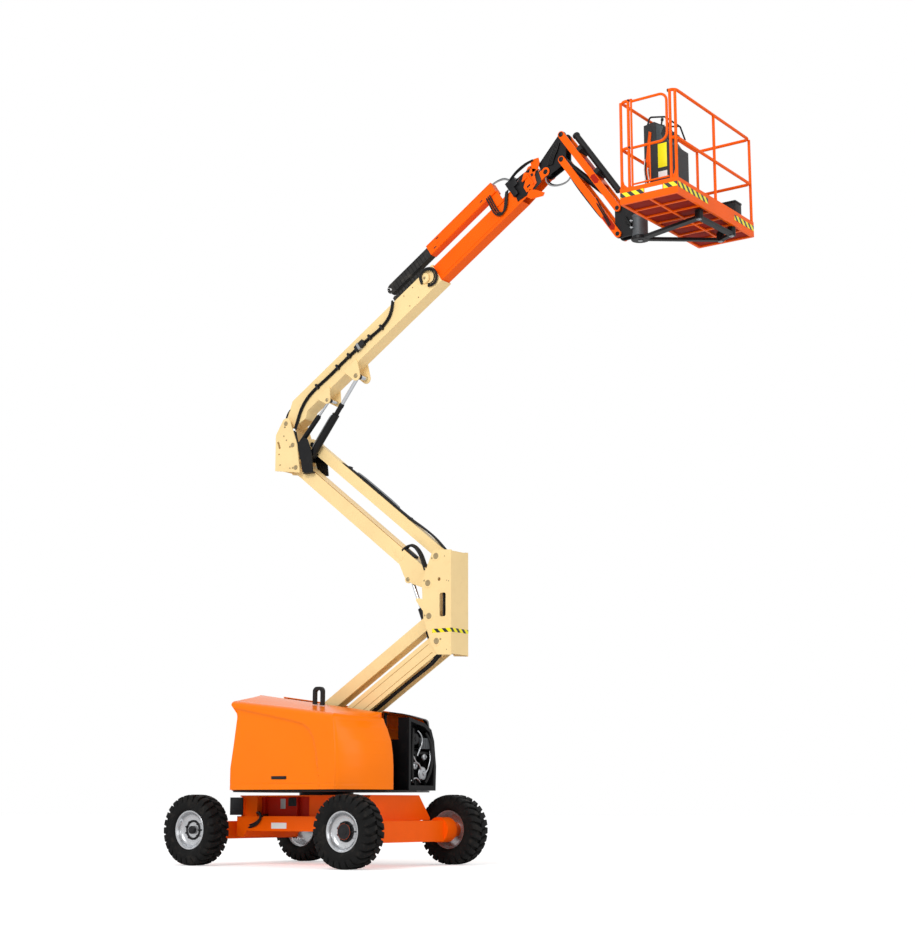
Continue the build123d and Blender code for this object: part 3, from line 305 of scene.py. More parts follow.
def hose(name, points, radius, body, finish=hose_rubber, place=Matrix()):
    """Hose or cable clipped to one body, along a smooth curve."""
    curve = bpy.data.curves.new(name, "CURVE")
    curve.dimensions = "3D"
    curve.bevel_depth = radius
    curve.bevel_resolution = 3
    curve.resolution_u = 8
    curve.use_fill_caps = True
    curve.materials.append(finish)
    spline = curve.splines.new("NURBS")
    spline.points.add(len(points) - 1)
    for point, at in zip(spline.points, points):
        point.co = (*(place @ Vector(at)), 1.0)
    spline.order_u = 3
    spline.use_endpoint_u = True
    return riding(bpy.data.objects.new(name, curve), body, "black_paint")


def painted(finish, *names):
    """Gives CAD nodes their finish."""
    for name in names:
        nodes[name].data.materials.clear()
        nodes[name].data.materials.append(finish)


painted(orange_enamel, "chassis_frame")
# Thin dark red sheets over the sunken sides: painted shade of the recess.
boxes("chassis_recess", "chassis", painted_shade_enamel,
      [(-0.955, 0.05, y, y + 0.003, 0.585, 0.812) for y in (-0.3835, 0.3805)])
# The ribs in the recess carry the same painted shade.
boxes("chassis_ribs", "chassis", painted_shade_enamel,
      [(x, x + 0.012, y, y + 0.056, 0.58, 0.815) for y in (-0.44, 0.384) for x in (-0.62, -0.1)],
      edge=0.002)
slats = [(-0.262, -0.138, -0.402, -0.393, 0.709 + 0.0155 * i, 0.718 + 0.0155 * i) for i in range(6)]
boxes("louvre", "chassis", satin_plastic, [(-0.27, -0.13, -0.394, -0.384, 0.70, 0.80)] + slats, edge=0.0012)
boxes("recess_plate", "chassis", grey_plate, [(-0.40, -0.32, -0.387, -0.384, 0.67, 0.79)], edge=0.0015)
boxes("blank_plates", "chassis", white_vinyl, [(-0.44, -0.20, -0.5025, -0.5, 0.435, 0.505),
                                               (0.985, 1.02, -0.693, -0.69, 0.545, 0.56)], edge=0.001)
lid = bmesh.new()
box(lid, -1.094, -0.886, -0.53, -0.518, 0.594, 0.806)
box(lid, -1.05, -0.93, -0.534, -0.529, 0.64, 0.66)
for corner, way in on_near([(x, z) for x in (-1.075, -0.905) for z in (0.615, 0.785)], 0.529):
    turned(lid, corner, way, ((0, 0.007), (0.005, 0.007), (0.006, 0.006)), 6)
finished("control_box_lid", lid, "chassis", satin_plastic, 0.002)
hose("axle_hose", ((-0.72, -0.40, 0.60), (-0.70, -0.50, 0.63), (-0.58, -0.53, 0.62), (-0.62, -0.52, 0.50),
                   (-0.80, -0.50, 0.44), (-0.98, -0.42, 0.42)), 0.016, "chassis")
hose("brake_hose", ((-0.60, -0.40, 0.60), (-0.56, -0.52, 0.60), (-0.66, -0.53, 0.50), (-0.88, -0.47, 0.46),
                    (-0.99, -0.36, 0.44)), 0.011, "chassis")

# ================================================================= axles, knuckles and slew ring
# Both axles are box beams in orange enamel, the fixed one with a hydraulic motor in each wheel.
# Black knuckles carry the steered wheels on stub shafts and are swung by one cross rod.
painted(orange_enamel, "fixed_axle", "steer_axle")
painted(black_enamel, "knuckle_near", "knuckle_far", "slew_ring")
# Hard chrome, ground and polished: bright, with a faint turned grain.
hard_chrome = surface("hard_chrome", "#C9CCD0", 0.14, metallic=1.0, shade=0.03)
painted(hard_chrome, "steer_rod")
axle_x, axle_z = 1.18, 0.42
upward = (0, 0, 1)
kingpin_y = 0.8
rod_behind = 0.16


def turnings(name, body, finish, ends, profile, sides=40, ring=False, place=Matrix(), edge=0.0):
    """Piece of equal turned parts, each given by its start and direction."""
    bm = bmesh.new()
    for start, direction in ends:
        turned(bm, start, direction, profile, sides, ring, place)
    return finished(name, bm, body, finish, edge)


for name, side in (("near", -1), ("far", 1)):
    turnings("kingpin_nut_" + name, "knuckle_" + name, black_enamel,
             [((-axle_x, side * kingpin_y, 0.546), upward)],
             ((0, 0.024), (0.008, 0.024), (0.011, 0.021)), 6)
turnings("rod_nuts", "steer_rod", black_enamel,
         [((-axle_x - rod_behind, y, 0.456), upward) for y in (-kingpin_y, kingpin_y)],
         ((0, 0.018), (0.012, 0.018), (0.014, 0.015)), 6)


def repeat_tree():
    """Node tree that repeats its geometry along a step and a turn about Z."""
    tree = bpy.data.node_groups.new("repeat", "GeometryNodeTree")
    for name, kind in (("Geometry", "Geometry"), ("Count", "Int"), ("Step", "Vector"), ("Turn", "Float"),
                       ("Finish", "Material")):
        tree.interface.new_socket(name=name, in_out="INPUT", socket_type="NodeSocket" + kind)
    tree.interface.new_socket(name="Geometry", in_out="OUTPUT", socket_type="NodeSocketGeometry")
    given = tree.nodes.new("NodeGroupInput").outputs
    line = add(tree, "GeometryNodeMeshLine", Count=given["Count"], Offset=given["Step"])
    index = add(tree, "GeometryNodeInputIndex").outputs["Index"]
    angle = add(tree, "ShaderNodeMath", {0: index, 1: given["Turn"]}, operation="MULTIPLY")
    euler = add(tree, "ShaderNodeCombineXYZ", Z=angle.outputs[0])
    turn = add(tree, "FunctionNodeEulerToRotation", Euler=euler.outputs[0])
    copies = add(tree, "GeometryNodeInstanceOnPoints", Points=line.outputs[0], Instance=given["Geometry"],
                 Rotation=turn.outputs[0])
    real = add(tree, "GeometryNodeRealizeInstances", Geometry=copies.outputs[0])
    dressed = add(tree, "GeometryNodeSetMaterial", Geometry=real.outputs[0], Material=given["Finish"])
    add(tree, "NodeGroupOutput", {0: dressed.outputs[0]})
    return tree


repeats = repeat_tree()


def repeated(bm, finish, count, step=(0, 0, 0), turn=0.0, edge=0.0):
    """Mesh of many copies of one form, in a row or round the Z axis."""
    holder = bpy.data.objects.new("holder", as_mesh(bm, edge))
    scene.collection.objects.link(holder)
    modifier = holder.modifiers.new("repeat", "NODES")
    modifier.node_group = repeats
    sockets = {item.name: item.identifier for item in repeats.interface.items_tree
               if item.in_out == "INPUT"}
    for name, value in (("Count", count), ("Step", step), ("Turn", turn), ("Finish", finish)):
        modifier[sockets[name]] = value
    evaluated = holder.evaluated_get(bpy.context.evaluated_depsgraph_get())
    result = bpy.data.meshes.new_from_object(evaluated)
    holder.modifiers.clear()
    bpy.data.objects.remove(holder)
    return result


slew_bolt = bmesh.new()
turned(slew_bolt, (0.305, 0, 0.846), upward, ((0, 0.014), (0.012, 0.014), (0.014, 0.012)), 6)
finished("slew_bolts", repeated(slew_bolt, black_enamel, 24, turn=math.radians(15)), "chassis",
         black_enamel)

# ================================================================= rims
# Pressed and welded steel rims in silver enamel: a rolled flange, a deep dish towards the outer
# side and a bolted disc, with a dark hub cap and nine wheel nuts.
# Silver enamel on pressed steel: a soft metal sheen, with grey dust in patches.
rim_silver = surface("rim_silver_enamel", "#C4C6C9", 0.26, "rim_silver", metallic=0.75, shade=0.08,
                     grime="#5A5550", dirt=0.25)
# Phosphated steel, oiled: nearly black, with a dull metal glint.
dark_hub = surface("dark_phosphated_hub", "#232325", 0.42, metallic=0.3, dirt=0.2)
wheels = (
    ("steer_near", -axle_x, -1, 0.045),
    ("steer_far", -axle_x, 1, 0.045),
    ("drive_near", axle_x, -1, 0.09),
    ("drive_far", axle_x, 1, 0.09),
)
wheel_y = 1.025
rim_section = ((-0.119, 0.230), (-0.109, 0.231), (-0.106, 0.222), (-0.094, 0.2115), (0.094, 0.2115),
               (0.106, 0.222), (0.108, 0.228), (0.117, 0.2315), (0.120, 0.228), (0.119, 0.216),
               (0.108, 0.208), (0.098, 0.203), (0.088, 0.198), (0.072, 0.192), (0.060, 0.182),
               (0.050, 0.166), (0.046, 0.152), (0.0455, 0.12), (0.020, 0.12), (0.020, 0.203),
               (-0.095, 0.203), (-0.108, 0.215),)
for name, x, side, hub_radius in wheels:
    centre, outward = (x, side * wheel_y, axle_z), (0, side, 0)
    bore, cap = hub_radius + 0.001, hub_radius + 0.002
    rim = bmesh.new()
    turned(rim, centre, outward, rim_section, 96, ring=True)
    turned(rim, centre, outward, ((0.018, bore), (0.018, 0.125), (0.030, 0.135), (0.0465, 0.135),
                                  (0.0465, bore)), 96, ring=True)
    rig.replaces(finished("rim_" + name, rim, "wheel_" + name, rim_silver), "rim_" + name)
    hub = bmesh.new()
    turned(hub, centre, outward, ((0.0468, 0.118), (0.052, 0.118), (0.055, 0.114), (0.056, 0.098),
                                  (0.0565, 0.0935), (0.047, 0.0932)), 64, ring=True)
    turned(hub, centre, outward, ((0.0475, cap), (0.082, cap), (0.0875, cap - 0.006), (0.0880, 0.040),
                                  (0.091, 0.040), (0.094, 0.034), (0.0945, 0.012), (0.096, 0.010)), 48)
    finished("hub_ring_" + name, hub, "wheel_" + name, dark_hub)
    nut = bmesh.new()
    turned(nut, (0.106, 0, 0.0555), upward, ((0, 0.0125), (0.014, 0.0125), (0.016, 0.010), (0.0165, 0.0065),
                                             (0.026, 0.006)), 6)
    nuts = repeated(nut, dark_hub, 9, turn=math.radians(40))
    nuts.transform(Matrix.Translation(centre)
                   @ Vector(outward).to_track_quat("Z", "Y").to_matrix().to_4x4())
    finished("wheel_nuts_" + name, nuts, "wheel_" + name, dark_hub)

# ================================================================= tyres
# Foam-filled traction tyres of black rubber: a rounded carcass with a ribbed sidewall, and two
# rows of slanted lugs, half a pitch apart, that wrap over the shoulders.
# Vulcanised tread rubber: matt, near black, greyed by dust, with a grain 3 mm across.
tyre_rubber = surface("tyre_rubber", "#151515", 0.68, "tyre_rubber", shade=0.25, shine=0.12, relief=0.3,
                      grains_per_metre=300.0, grime="#4E4740", dirt=0.35)
lugs_per_row = 26
lug_stations = (
    # offset from the tyre's middle, radius of the lug's face, radius at its root, turn, half width
    (0.006, 0.4195, 0.385, 0.060, 0.062),
    (0.050, 0.4195, 0.386, 0.030, 0.066),
    (0.100, 0.4180, 0.384, -0.010, 0.074),
    (0.134, 0.4110, 0.376, -0.035, 0.080),
    (0.152, 0.3930, 0.360, -0.050, 0.080),
    (0.157, 0.3640, 0.345, -0.055, 0.070),
    (0.154, 0.3380, 0.326, -0.055, 0.052),
)
sidewall = (
    (0.112, 0.2335), (0.118, 0.2345), (0.123, 0.240), (0.140, 0.252), (0.148, 0.268), (0.1465, 0.272),
    (0.1495, 0.276), (0.153, 0.300), (0.1515, 0.304), (0.154, 0.308), (0.1525, 0.332), (0.147, 0.355),
    (0.136, 0.374), (0.115, 0.386), (0.060, 0.391),
)
carcass = [(-reach, radius) for reach, radius in sidewall] + [(0.0, 0.392)] + list(reversed(sidewall))
carcass += [(0.100, 0.2175), (0.093, 0.2125), (-0.093, 0.2125), (-0.100, 0.2175)]
lug = bmesh.new()
for row in (-1, 1):
    rings = []
    for offset, top, root, turn, half in lug_stations:
        middle = turn + row * math.pi / lugs_per_row / 2
        corners = ((root, middle - half * 1.25), (top, middle - half), (top, middle + half),
                   (root, middle + half * 1.25))
        rings.append([lug.verts.new((radius * math.cos(at), radius * math.sin(at), row * offset))
                      for radius, at in corners])
    lug.faces.new(rings[0])
    lug.faces.new(rings[-1])
    for low, high in zip(rings, rings[1:]):
        for i in range(4):
            lug.faces.new((low[i - 1], low[i], high[i], high[i - 1]))
tread = repeated(lug, tyre_rubber, lugs_per_row, turn=2 * math.pi / lugs_per_row, edge=0.003)
for name, x, side, _ in wheels:
    centre, outward = Vector((x, side * wheel_y, axle_z)), Vector((0, side, 0))
    facing = outward.to_track_quat("Z", "Y").to_matrix().to_4x4()
    tyre = bmesh.new()
    tyre.from_mesh(tread)
    tyre.transform(Matrix.Translation(centre) @ facing)
    turned(tyre, centre, outward, carcass, 120, ring=True)
    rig.replaces(finished("tyre_" + name, tyre, "wheel_" + name, tyre_rubber, angle=28), "tyre_" + name)
    turnings("valve_" + name, "wheel_" + name, hose_rubber,
             [((x + 0.17, side * (wheel_y + 0.075), axle_z), outward)],
             ((0, 0.008), (0.02, 0.008), (0.022, 0.005), (0.034, 0.005)), 12)

# ================================================================= turntable
# The turntable's floor plate and cheeks are enamelled steel. The counterweight is a painted
# casting at the tail, and the engine and service side stand under the hoods.
# Cream enamel on folded sheet: smooth and glossy, with a faint brown film in patches.
cream_enamel = surface("cream_enamel", "#F5D79C", 0.34, "cream_paint", shade=0.04, shine=0.2, relief=0.04,
                       grime="#B08A58", dirt=0.10)
# Orange enamel over sand-cast iron: the skin of the casting shows through, 5 to 6 mm across.
cast_enamel = surface("enamel_on_casting", "#F65F08", 0.4, "orange_paint", shade=0.06, shine=0.12,
                      relief=0.3, grains_per_metre=180.0)
painted(black_enamel, "turntable_frame", "engine", "service_unit")
painted(cast_enamel, "counterweight")

# ================================================================= hoods
# Each hood is one rotational-moulded cover in glossy orange, 10 mm thick. It has a rounded
# front, a raked tail with an overhanging lip, a crowned top and a long sculpted swoosh.
# Rotational-moulded polyethylene, coloured through: an even orange with a soft gloss.
hood_orange = surface("moulded_gloss_orange", "#FF7C04", 0.24, "orange_hood", shade=0.02, shine=0.16)
hood_tail, hood_nose = -0.95, 1.20
hood_side, hood_inner, hood_foot = 0.95, 0.225, 0.8925
hood_wall, hood_shoulder = 0.010, 0.055
# A groove runs round the foot, and an upright crease divides the flank from the front.
groove_z, groove_depth, groove_half = 0.955, 0.006, 0.006
crease_share, crease_depth, crease_half = 0.706, 0.007, 0.005
swoosh_deep, swoosh_edge, swoosh_fade = 0.024, 0.035, 0.35
# The shoulder and the crown fall towards the front; both heights are given at x = -1.
edge_height, edge_fall = 1.993, 0.118667
crown_height, crown_fall = 2.081, 0.142667
open_front_x, open_tail_x, open_tail_z = 0.90, -0.75, 1.16
black_front_x = 0.79
rear_lean = ((0.80, 0.0), (1.15, 0.0), (1.45, 0.05), (1.757, 0.095), (1.80, 0.085), (1.90, -0.008),
             (1.96, -0.01), (2.2, -0.01))
front_lean = ((0.80, 0.0), (1.15, 0.0), (1.30, 0.01), (1.45, 0.035), (1.60, 0.095), (1.757, 0.185),
              (1.93, 0.33), (2.2, 0.5))
swoosh_line = ((-0.93, 1.895), (-0.60, 1.862), (-0.10, 1.768), (0.25, 1.700), (0.42, 1.655), (0.52, 1.585),
               (0.585, 1.480), (0.63, 1.32), (0.65, 1.15))
# Shares of the outline at which the tail, the flank, the front and the inner nose begin.
tail_from, flank_from, front_from, nose_from = 0.02, 0.22, 0.70, 0.98


def along_table(table, value):
    """Value read from a table of pairs by straight interpolation."""
    for (a, x), (b, y) in zip(table, table[1:]):
        if value <= b:
            return x + (y - x) * max(0.0, value - a) / (b - a)
    return table[-1][1]


def arc_through(start, middle, end, share):
    """Point on a parabola through three points of a plan."""
    a = Vector(start) * (1 - share) * (1 - 2 * share)
    b = Vector(middle) * 4 * share * (1 - share)
    c = Vector(end) * share * (2 * share - 1)
    return a + b + c


def hood_plan_point(share, z):
    """Point of a near hood's outline at one height; share runs from the inner rear to the inner front."""
    rear = along_table(rear_lean, z)
    front = along_table(front_lean, z)
    tail = Vector((hood_tail + rear, 0.30))
    flank_rear = Vector((-0.72 + rear, hood_side))
    flank_front = Vector((0.90 - 0.3 * front, hood_side))
    nose = Vector((hood_nose - front, 0.25))
    if share < tail_from:
        return Vector((tail.x, hood_inner)).lerp(tail, share / tail_from)
    if share < flank_from:
        return arc_through(tail, (-0.87 + rear, 0.65), flank_rear,
                           (share - tail_from) / (flank_from - tail_from))
    if share < front_from:
        return flank_rear.lerp(flank_front, (share - flank_from) / (front_from - flank_from))
    if share < nose_from:
        return arc_through(flank_front, (1.10 - 0.8 * front, 0.64), nose,
                           (share - front_from) / (nose_from - front_from))
    return nose.lerp(Vector((nose.x, hood_inner)), (share - nose_from) / (1 - nose_from))


def swoosh_depth(x, z):
    """Depth of the sculpted recess: sharp along its upper line, fading out below."""
    nearest = None
    for (xa, za), (xb, zb) in zip(swoosh_line, swoosh_line[1:]):
        run, fall = xb - xa, zb - za
        share = min(1.0, max(0.0, ((x - xa) * run + (z - za) * fall) / (run * run + fall * fall)))
        away = math.hypot(x - xa - share * run, z - za - share * fall)
        if nearest is None or away < nearest[0]:
            nearest = (away, run * (z - za) - fall * (x - xa))
    away, above = nearest
    if above > 0:
        return 0.0
    step = min(1.0, away / swoosh_edge)
    return swoosh_deep * step * step * (3 - 2 * step) * math.exp(-away / swoosh_fade)


def hood_skin(side):
    """Skin of a hood in columns from its foot, over its shoulder, to the crown's inner edge."""
    bm = bmesh.new()
    columns, flank_rows, shoulder_rows, crown_rows = 240, 72, 8, 16
    lines = []
    for i in range(columns + 1):
        share = i / columns
        column = []
        edge_z = edge_height - edge_fall * (hood_plan_point(share, hood_foot).x + 1.0)
        crease = crease_depth * math.exp(-((share - crease_share) / crease_half) ** 2)
        for j in range(flank_rows + 1):
            z = hood_foot + (edge_z - hood_shoulder - hood_foot) * j / flank_rows
            at = hood_plan_point(share, z)
            inset = groove_depth * math.exp(-((z - groove_z) / groove_half) ** 2) + crease
            if flank_from < share < front_from:
                inset += swoosh_depth(at.x, z)
            column.append(Vector((at.x, at.y - inset, z)))
        top = column[-1]
        inner = Vector((0.95 * top.x, hood_inner))
        inward = inner - top.xy
        pull = inward.normalized() * min(0.10, inward.length)
        for j in range(1, shoulder_rows + 1):
            turn = math.pi / 2 * j / shoulder_rows
            over = top.xy + pull * (1 - math.cos(turn))
            column.append(Vector((*over, top.z + hood_shoulder * math.sin(turn))))
        last = column[-1]
        crown_z = crown_height - crown_fall * (inner.x + 1.0)
        for j in range(1, crown_rows + 1):
            t = j / crown_rows
            column.append(Vector((*last.xy.lerp(inner, t),
                                  last.z + (crown_z - last.z) * (1 - (1 - t) ** 1.8))))
        lines.append([bm.verts.new((p.x, side * p.y, p.z)) for p in column])
    for a, b in zip(lines, lines[1:]):
        for j in range(len(a) - 1):
            middle_x = 0.5 * (a[j].co.x + b[j].co.x)
            open_front = side > 0 and middle_x > open_front_x
            open_tail = middle_x < open_tail_x and a[j + 1].co.z < open_tail_z
            if not (open_front or open_tail):
                bm.faces.new((a[j], a[j + 1], b[j + 1], b[j]))
    bmesh.ops.delete(bm, geom=[v for v in bm.verts if not v.link_faces], context="VERTS")
    bmesh.ops.remove_doubles(bm, verts=bm.verts, dist=0.0004)
    bmesh.ops.recalc_face_normals(bm, faces=bm.faces)
    if sum(f.calc_center_median().y * f.normal.y for f in bm.faces) < 0:
        bmesh.ops.reverse_faces(bm, faces=bm.faces)
    mesh = bpy.data.meshes.new("hood")
    bm.to_mesh(mesh)
    bm.free()
    holder = bpy.data.objects.new("hood_holder", mesh)
    scene.collection.objects.link(holder)
    wall = holder.modifiers.new("wall", "SOLIDIFY")
    wall.thickness = hood_wall
    wall.offset = -1.0
    done = bpy.data.meshes.new_from_object(holder.evaluated_get(bpy.context.evaluated_depsgraph_get()))
    holder.modifiers.clear()
    bpy.data.objects.remove(holder)
    return done


for name, side in (("near", -1), ("far", 1)):
    cover = finished("hood_" + name, hood_skin(side), name + "_hood", hood_orange, angle=40)
    cover.data.materials.append(black_enamel)
    for face in cover.data.polygons:
        if side > 0 and face.center.x > black_front_x:
            face.material_index = 1
    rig.replaces(cover, "hood_" + name)
    latch = bmesh.new()
    box(latch, -0.06, 0.17, *sorted((side * 0.951, side * 0.947)), 1.012, 1.048)
    plate(latch, ((-0.045, 1.018), (0.155, 1.018), (0.165, 1.030), (0.150, 1.043), (-0.035, 1.043),
                  (-0.05, 1.030)), *sorted((side * 0.949, side * 0.960)))
    finished("hood_latch_" + name, latch, name + "_hood", satin_plastic, 0.003)

# ================================================================= exhaust arch
# A bent steel tube, coated black, stands on the near hood's crown. It guards the outlet of the
# exhaust.
painted(satin_plastic, "exhaust_arch")

# ================================================================= engine's open end
# The diesel's belt end shows at the far side in an arched frame: pulleys and belt, a filter, an
# expansion tank, and steel pipes over a dull grey block.
painted(black_enamel, "engine_end")
# Bare machined steel, oily: bright metal with black grime in patches.
dull_steel = surface("bare_machined_steel", "#A7A9AC", 0.28, "chrome_rod", metallic=1.0, shade=0.1,
                     grime="#2A2826", dirt=0.35)
# Grey cast iron: rough and dull, with a grain 4 to 5 mm across.
cast_grey = surface("cast_iron_grey", "#55585B", 0.5, metallic=0.4, relief=0.4, grains_per_metre=220.0,
                    grime="#1A1816", dirt=0.3)
forward = (1, 0, 0)
pulleys = bmesh.new()
for x, y, z, radius in ((1.035, 0.56, 1.09, 0.085), (1.020, 0.42, 1.18, 0.050), (1.020, 0.61, 1.29, 0.045)):
    groove = ((0, 0.3), (0.002, 0.9), (0.006, 0.97), (0.014, 0.86), (0.018, 0.86), (0.026, 0.6),
              (0.030, 0.34), (0.040, 0.3))
    turned(pulleys, (x, y, z), forward, [(reach, radius * share) for reach, share in groove], 48)
finished("pulleys", pulleys, "turntable", dull_steel)
louvres = [(1.060, 1.067, 0.52 + 0.036 * i, 0.532 + 0.036 * i, 1.40, 1.50) for i in range(5)]
boxes("engine_panel", "turntable", cast_grey, [(0.945, 1.062, 0.50, 0.69, 1.385, 1.515)] + louvres,
      edge=0.004)
turnings("air_filter", "turntable", satin_plastic, [((1.044, 0.40, 1.50), forward)],
         ((0, 0.066), (0.008, 0.068), (0.016, 0.060), (0.018, 0.030), (0.028, 0.028), (0.030, 0.022)), 48)
pipes = (
    ((1.05, 0.30, 1.34), (1.065, 0.34, 1.30), (1.06, 0.40, 1.22), (1.065, 0.47, 1.20), (1.05, 0.52, 1.13)),
    ((1.05, 0.70, 1.36), (1.068, 0.69, 1.28), (1.06, 0.66, 1.18), (1.065, 0.62, 1.12), (1.04, 0.58, 1.06)),
    ((1.04, 0.46, 1.60), (1.068, 0.50, 1.56), (1.07, 0.52, 1.46), (1.068, 0.47, 1.38), (1.05, 0.44, 1.30)),
    ((1.04, 0.33, 1.00), (1.068, 0.37, 1.04), (1.068, 0.44, 1.02), (1.05, 0.50, 0.98)),
)
for i, points in enumerate(pipes):
    hose("engine_pipe_" + str(i), points, 0.010, "turntable", dull_steel)
hoses = (
    ((1.04, 0.36, 1.62), (1.072, 0.33, 1.52), (1.07, 0.31, 1.30), (1.065, 0.32, 1.10), (1.04, 0.36, 0.98)),
    ((1.04, 0.62, 1.58), (1.072, 0.68, 1.50), (1.07, 0.715, 1.30), (1.065, 0.70, 1.10), (1.04, 0.62, 0.98)),
)
for i, points in enumerate(hoses):
    hose("engine_hose_" + str(i), points, 0.019, "turntable")

# ================================================================= lower risers
# Folded and welded steel channels in cream enamel. Cast pin heads with a keeper bolt show at
# each pivot, and the open undersides carry clipped black hoses.
lower_feet = (-0.1655, 1.3842), (-0.2755, 1.6852)
upper_feet = (1.658, 3.297), (1.775, 3.610)
lower_angle, upper_angle = 32.0, 142.1


def member(pin, angle):
    """Frame of a tower or boom member: run along it from its pin, Y across, up from it."""
    turn = math.radians(angle)
    facing = 1 if math.cos(turn) >= 0 else -1
    run = (math.cos(turn), math.sin(turn))
    up = (-facing * math.sin(turn), facing * math.cos(turn))
    return Matrix(((run[0], 0, up[0], pin[0]), (0, 1, 0, 0), (run[1], 0, up[1], pin[1]), (0, 0, 0, 1)))


lower_member = member(lower_feet[0], lower_angle)
painted(cream_enamel, "lower_riser", "lower_riser_link", "lower_upright", "upper_riser", "upper_riser_link",
        "upper_upright", "main_boom")
# Zinc-plated pins and keeper bolts: dull yellow-grey metal.
plated_pin = surface("zinc_plated_pin", "#A99672", 0.34, metallic=0.7, grime="#5A4A32", dirt=0.3)
# Painted shadow on the edge of a channel: cream enamel as it looks in its own shadow, a warm brown, with dirt in
# patches.
painted_shadow_brown = surface("shaded_channel_edge", "#A5742F", 0.5, "cream_paint", dirt=0.2)
# Thin brown strips along the riser's folds: painted shadow.
boxes("lower_riser_fold_shadows", "lower_riser", painted_shadow_brown, [(0.12, 2.16, y, y + 0.0017, n, n + 0.005)
                                                       for y in (-0.1365, 0.1348) for n in (0.052, -0.060)],
      lower_member)
hose("lower_riser_hose", ((0.30, -0.06, -0.112), (0.9, -0.07, -0.122), (1.5, -0.06, -0.120),
                          (1.85, -0.07, -0.125), (2.05, -0.08, -0.135), (2.16, -0.08, -0.105)),
     0.016, "lower_riser", place=lower_member)
hose("lower_riser_cable", ((0.30, -0.02, -0.112), (0.9, -0.01, -0.120), (1.5, -0.03, -0.120),
                           (1.85, -0.03, -0.128), (2.06, -0.04, -0.14), (2.17, -0.04, -0.112)),
     0.012, "lower_riser", place=lower_member)

# ================================================================= pin heads
# Each pivot pin ends in a round head outside its cheek. On the near side a keeper bolt stands
# beside the head.
bolt_out = 1.6
cheek_y = 0.174
upright_pins = (upper_feet[1], upper_feet[0], (1.675, 2.904), (1.785, 2.603))
top_pins = ((-0.4363, 4.9273), (-0.615, 5.520), (-0.495, 5.225))


def on_both(points, y):
    """Starts and directions of turned parts on both sides at a distance y."""
    return [((x, side * y, z), (0, side, 0)) for x, z in points for side in (-1, 1)]


def pin_heads(name, body, near_radius, far_radius, pins, keepers):
    """Stepped heads with a keeper bolt on the near cheek, and plain heads on the far one."""
    bm = bmesh.new()
    for (x, z), keeper in zip(pins, keepers):
        turn = math.radians(keeper)
        away = bolt_out * near_radius
        turned(bm, (x, -cheek_y, z), outward_near, ((0, near_radius), (0.006, near_radius),
                                                    (0.009, near_radius * 0.9), (0.009, near_radius * 0.5),
                                                    (0.006, near_radius * 0.42)))
        turned(bm, (x + away * math.cos(turn), -cheek_y, z + away * math.sin(turn)), outward_near,
               ((0, 0.013), (0.003, 0.013), (0.0035, 0.009), (0.010, 0.009), (0.0115, 0.007)), 6)
        turned(bm, (x, cheek_y, z), (0, 1, 0), ((0, far_radius), (0.006, far_radius),
                                                (0.009, far_radius - 0.004)))
    finished(name, bm, body, plated_pin)


pin_heads("upright_pin_heads", "lower_upright", 0.038, 0.038, upright_pins, (200, 150, 170, 20))
turnings("cheek_bosses", "lower_upright", cream_enamel, on_both(upright_pins, 0.1745),
         ((0, 0.060), (0.003, 0.060), (0.0045, 0.058)), 48)
pin_heads("top_pin_heads", "upper_upright", 0.030, 0.034, top_pins, (180, 250, 200))
turnings("base_pin_heads", "turntable", plated_pin, on_both(lower_feet, cheek_y),
         ((0, 0.042), (0.006, 0.042), (0.009, 0.037)))
upper_member, upper_link_member = (member(foot, upper_angle) for foot in upper_feet)
riser_pin = upper_member @ Vector((0.337, 0.0, -0.162))
turnings("tower_lug_pins", "upper_riser", plated_pin, on_both([(riser_pin.x, riser_pin.z)], 0.0845),
         ((0, 0.026), (0.005, 0.026), (0.007, 0.022)), 32)

# ================================================================= lower upright
# Two cheek plates and a web of welded steel in cream enamel link the lower risers to the upper
# ones. A band of yellow and black warning tape runs round the foot.
stripe_pitch, yellow_share = 0.115, 0.52
# Printed vinyl tape: bands of signal yellow and black at 45 degrees, about 60 mm
# wide along the tape.
hazard = bpy.data.materials.new("hazard_tape")
hazard.use_nodes = True
slot_of[hazard.name] = "black_paint"
tape = hazard.node_tree
spot = add(tape, "ShaderNodeTexCoord").outputs["Object"]
slant = add(tape, "ShaderNodeVectorMath", {0: spot, 1: (1.0, 1.0, 1.0)},
            operation="DOT_PRODUCT").outputs["Value"]
pitch = add(tape, "ShaderNodeMath", {0: slant, 1: stripe_pitch}, operation="DIVIDE").outputs[0]
part_of = add(tape, "ShaderNodeMath", {0: pitch}, operation="FRACT").outputs[0]
stripe = add(tape, "ShaderNodeValToRGB", Fac=part_of)
stripe.color_ramp.interpolation = "CONSTANT"
stripe.color_ramp.elements[0].color = linear("#F2E400")
stripe.color_ramp.elements[1].position = yellow_share
stripe.color_ramp.elements[1].color = linear("#121212")
tape.links.new(stripe.outputs["Color"], tape.nodes["Principled BSDF"].inputs["Base Color"])
tape.nodes["Principled BSDF"].inputs["Roughness"].default_value = 0.38
boxes("upright_band", "lower_upright", hazard, [(1.722, 1.9945, -0.1765, -0.1752, 2.702, 2.748),
                                                (1.722, 1.9945, 0.1752, 0.1765, 2.702, 2.748),
                                                (1.9938, 1.9952, -0.1765, 0.1765, 2.702, 2.748)])
turnings("upright_rivets", "lower_upright", plated_pin,
         on_near(((1.93, 3.31), (1.96, 3.30), (1.93, 2.50), (1.90, 3.60)), cheek_y),
         ((0, 0.007), (0.003, 0.007), (0.004, 0.005)), 12)
for i in range(5):
    y = -0.145 + i * 0.022
    hose("upright_hose_" + str(i), ((1.90 - 0.01 * i, y, 2.47), (1.88, y, 2.65),
                                    (1.865 + 0.006 * i, y, 2.90), (1.87, y, 3.05), (1.86, y, 3.25),
                                    (1.84, y, 3.42)), 0.013, "lower_upright")
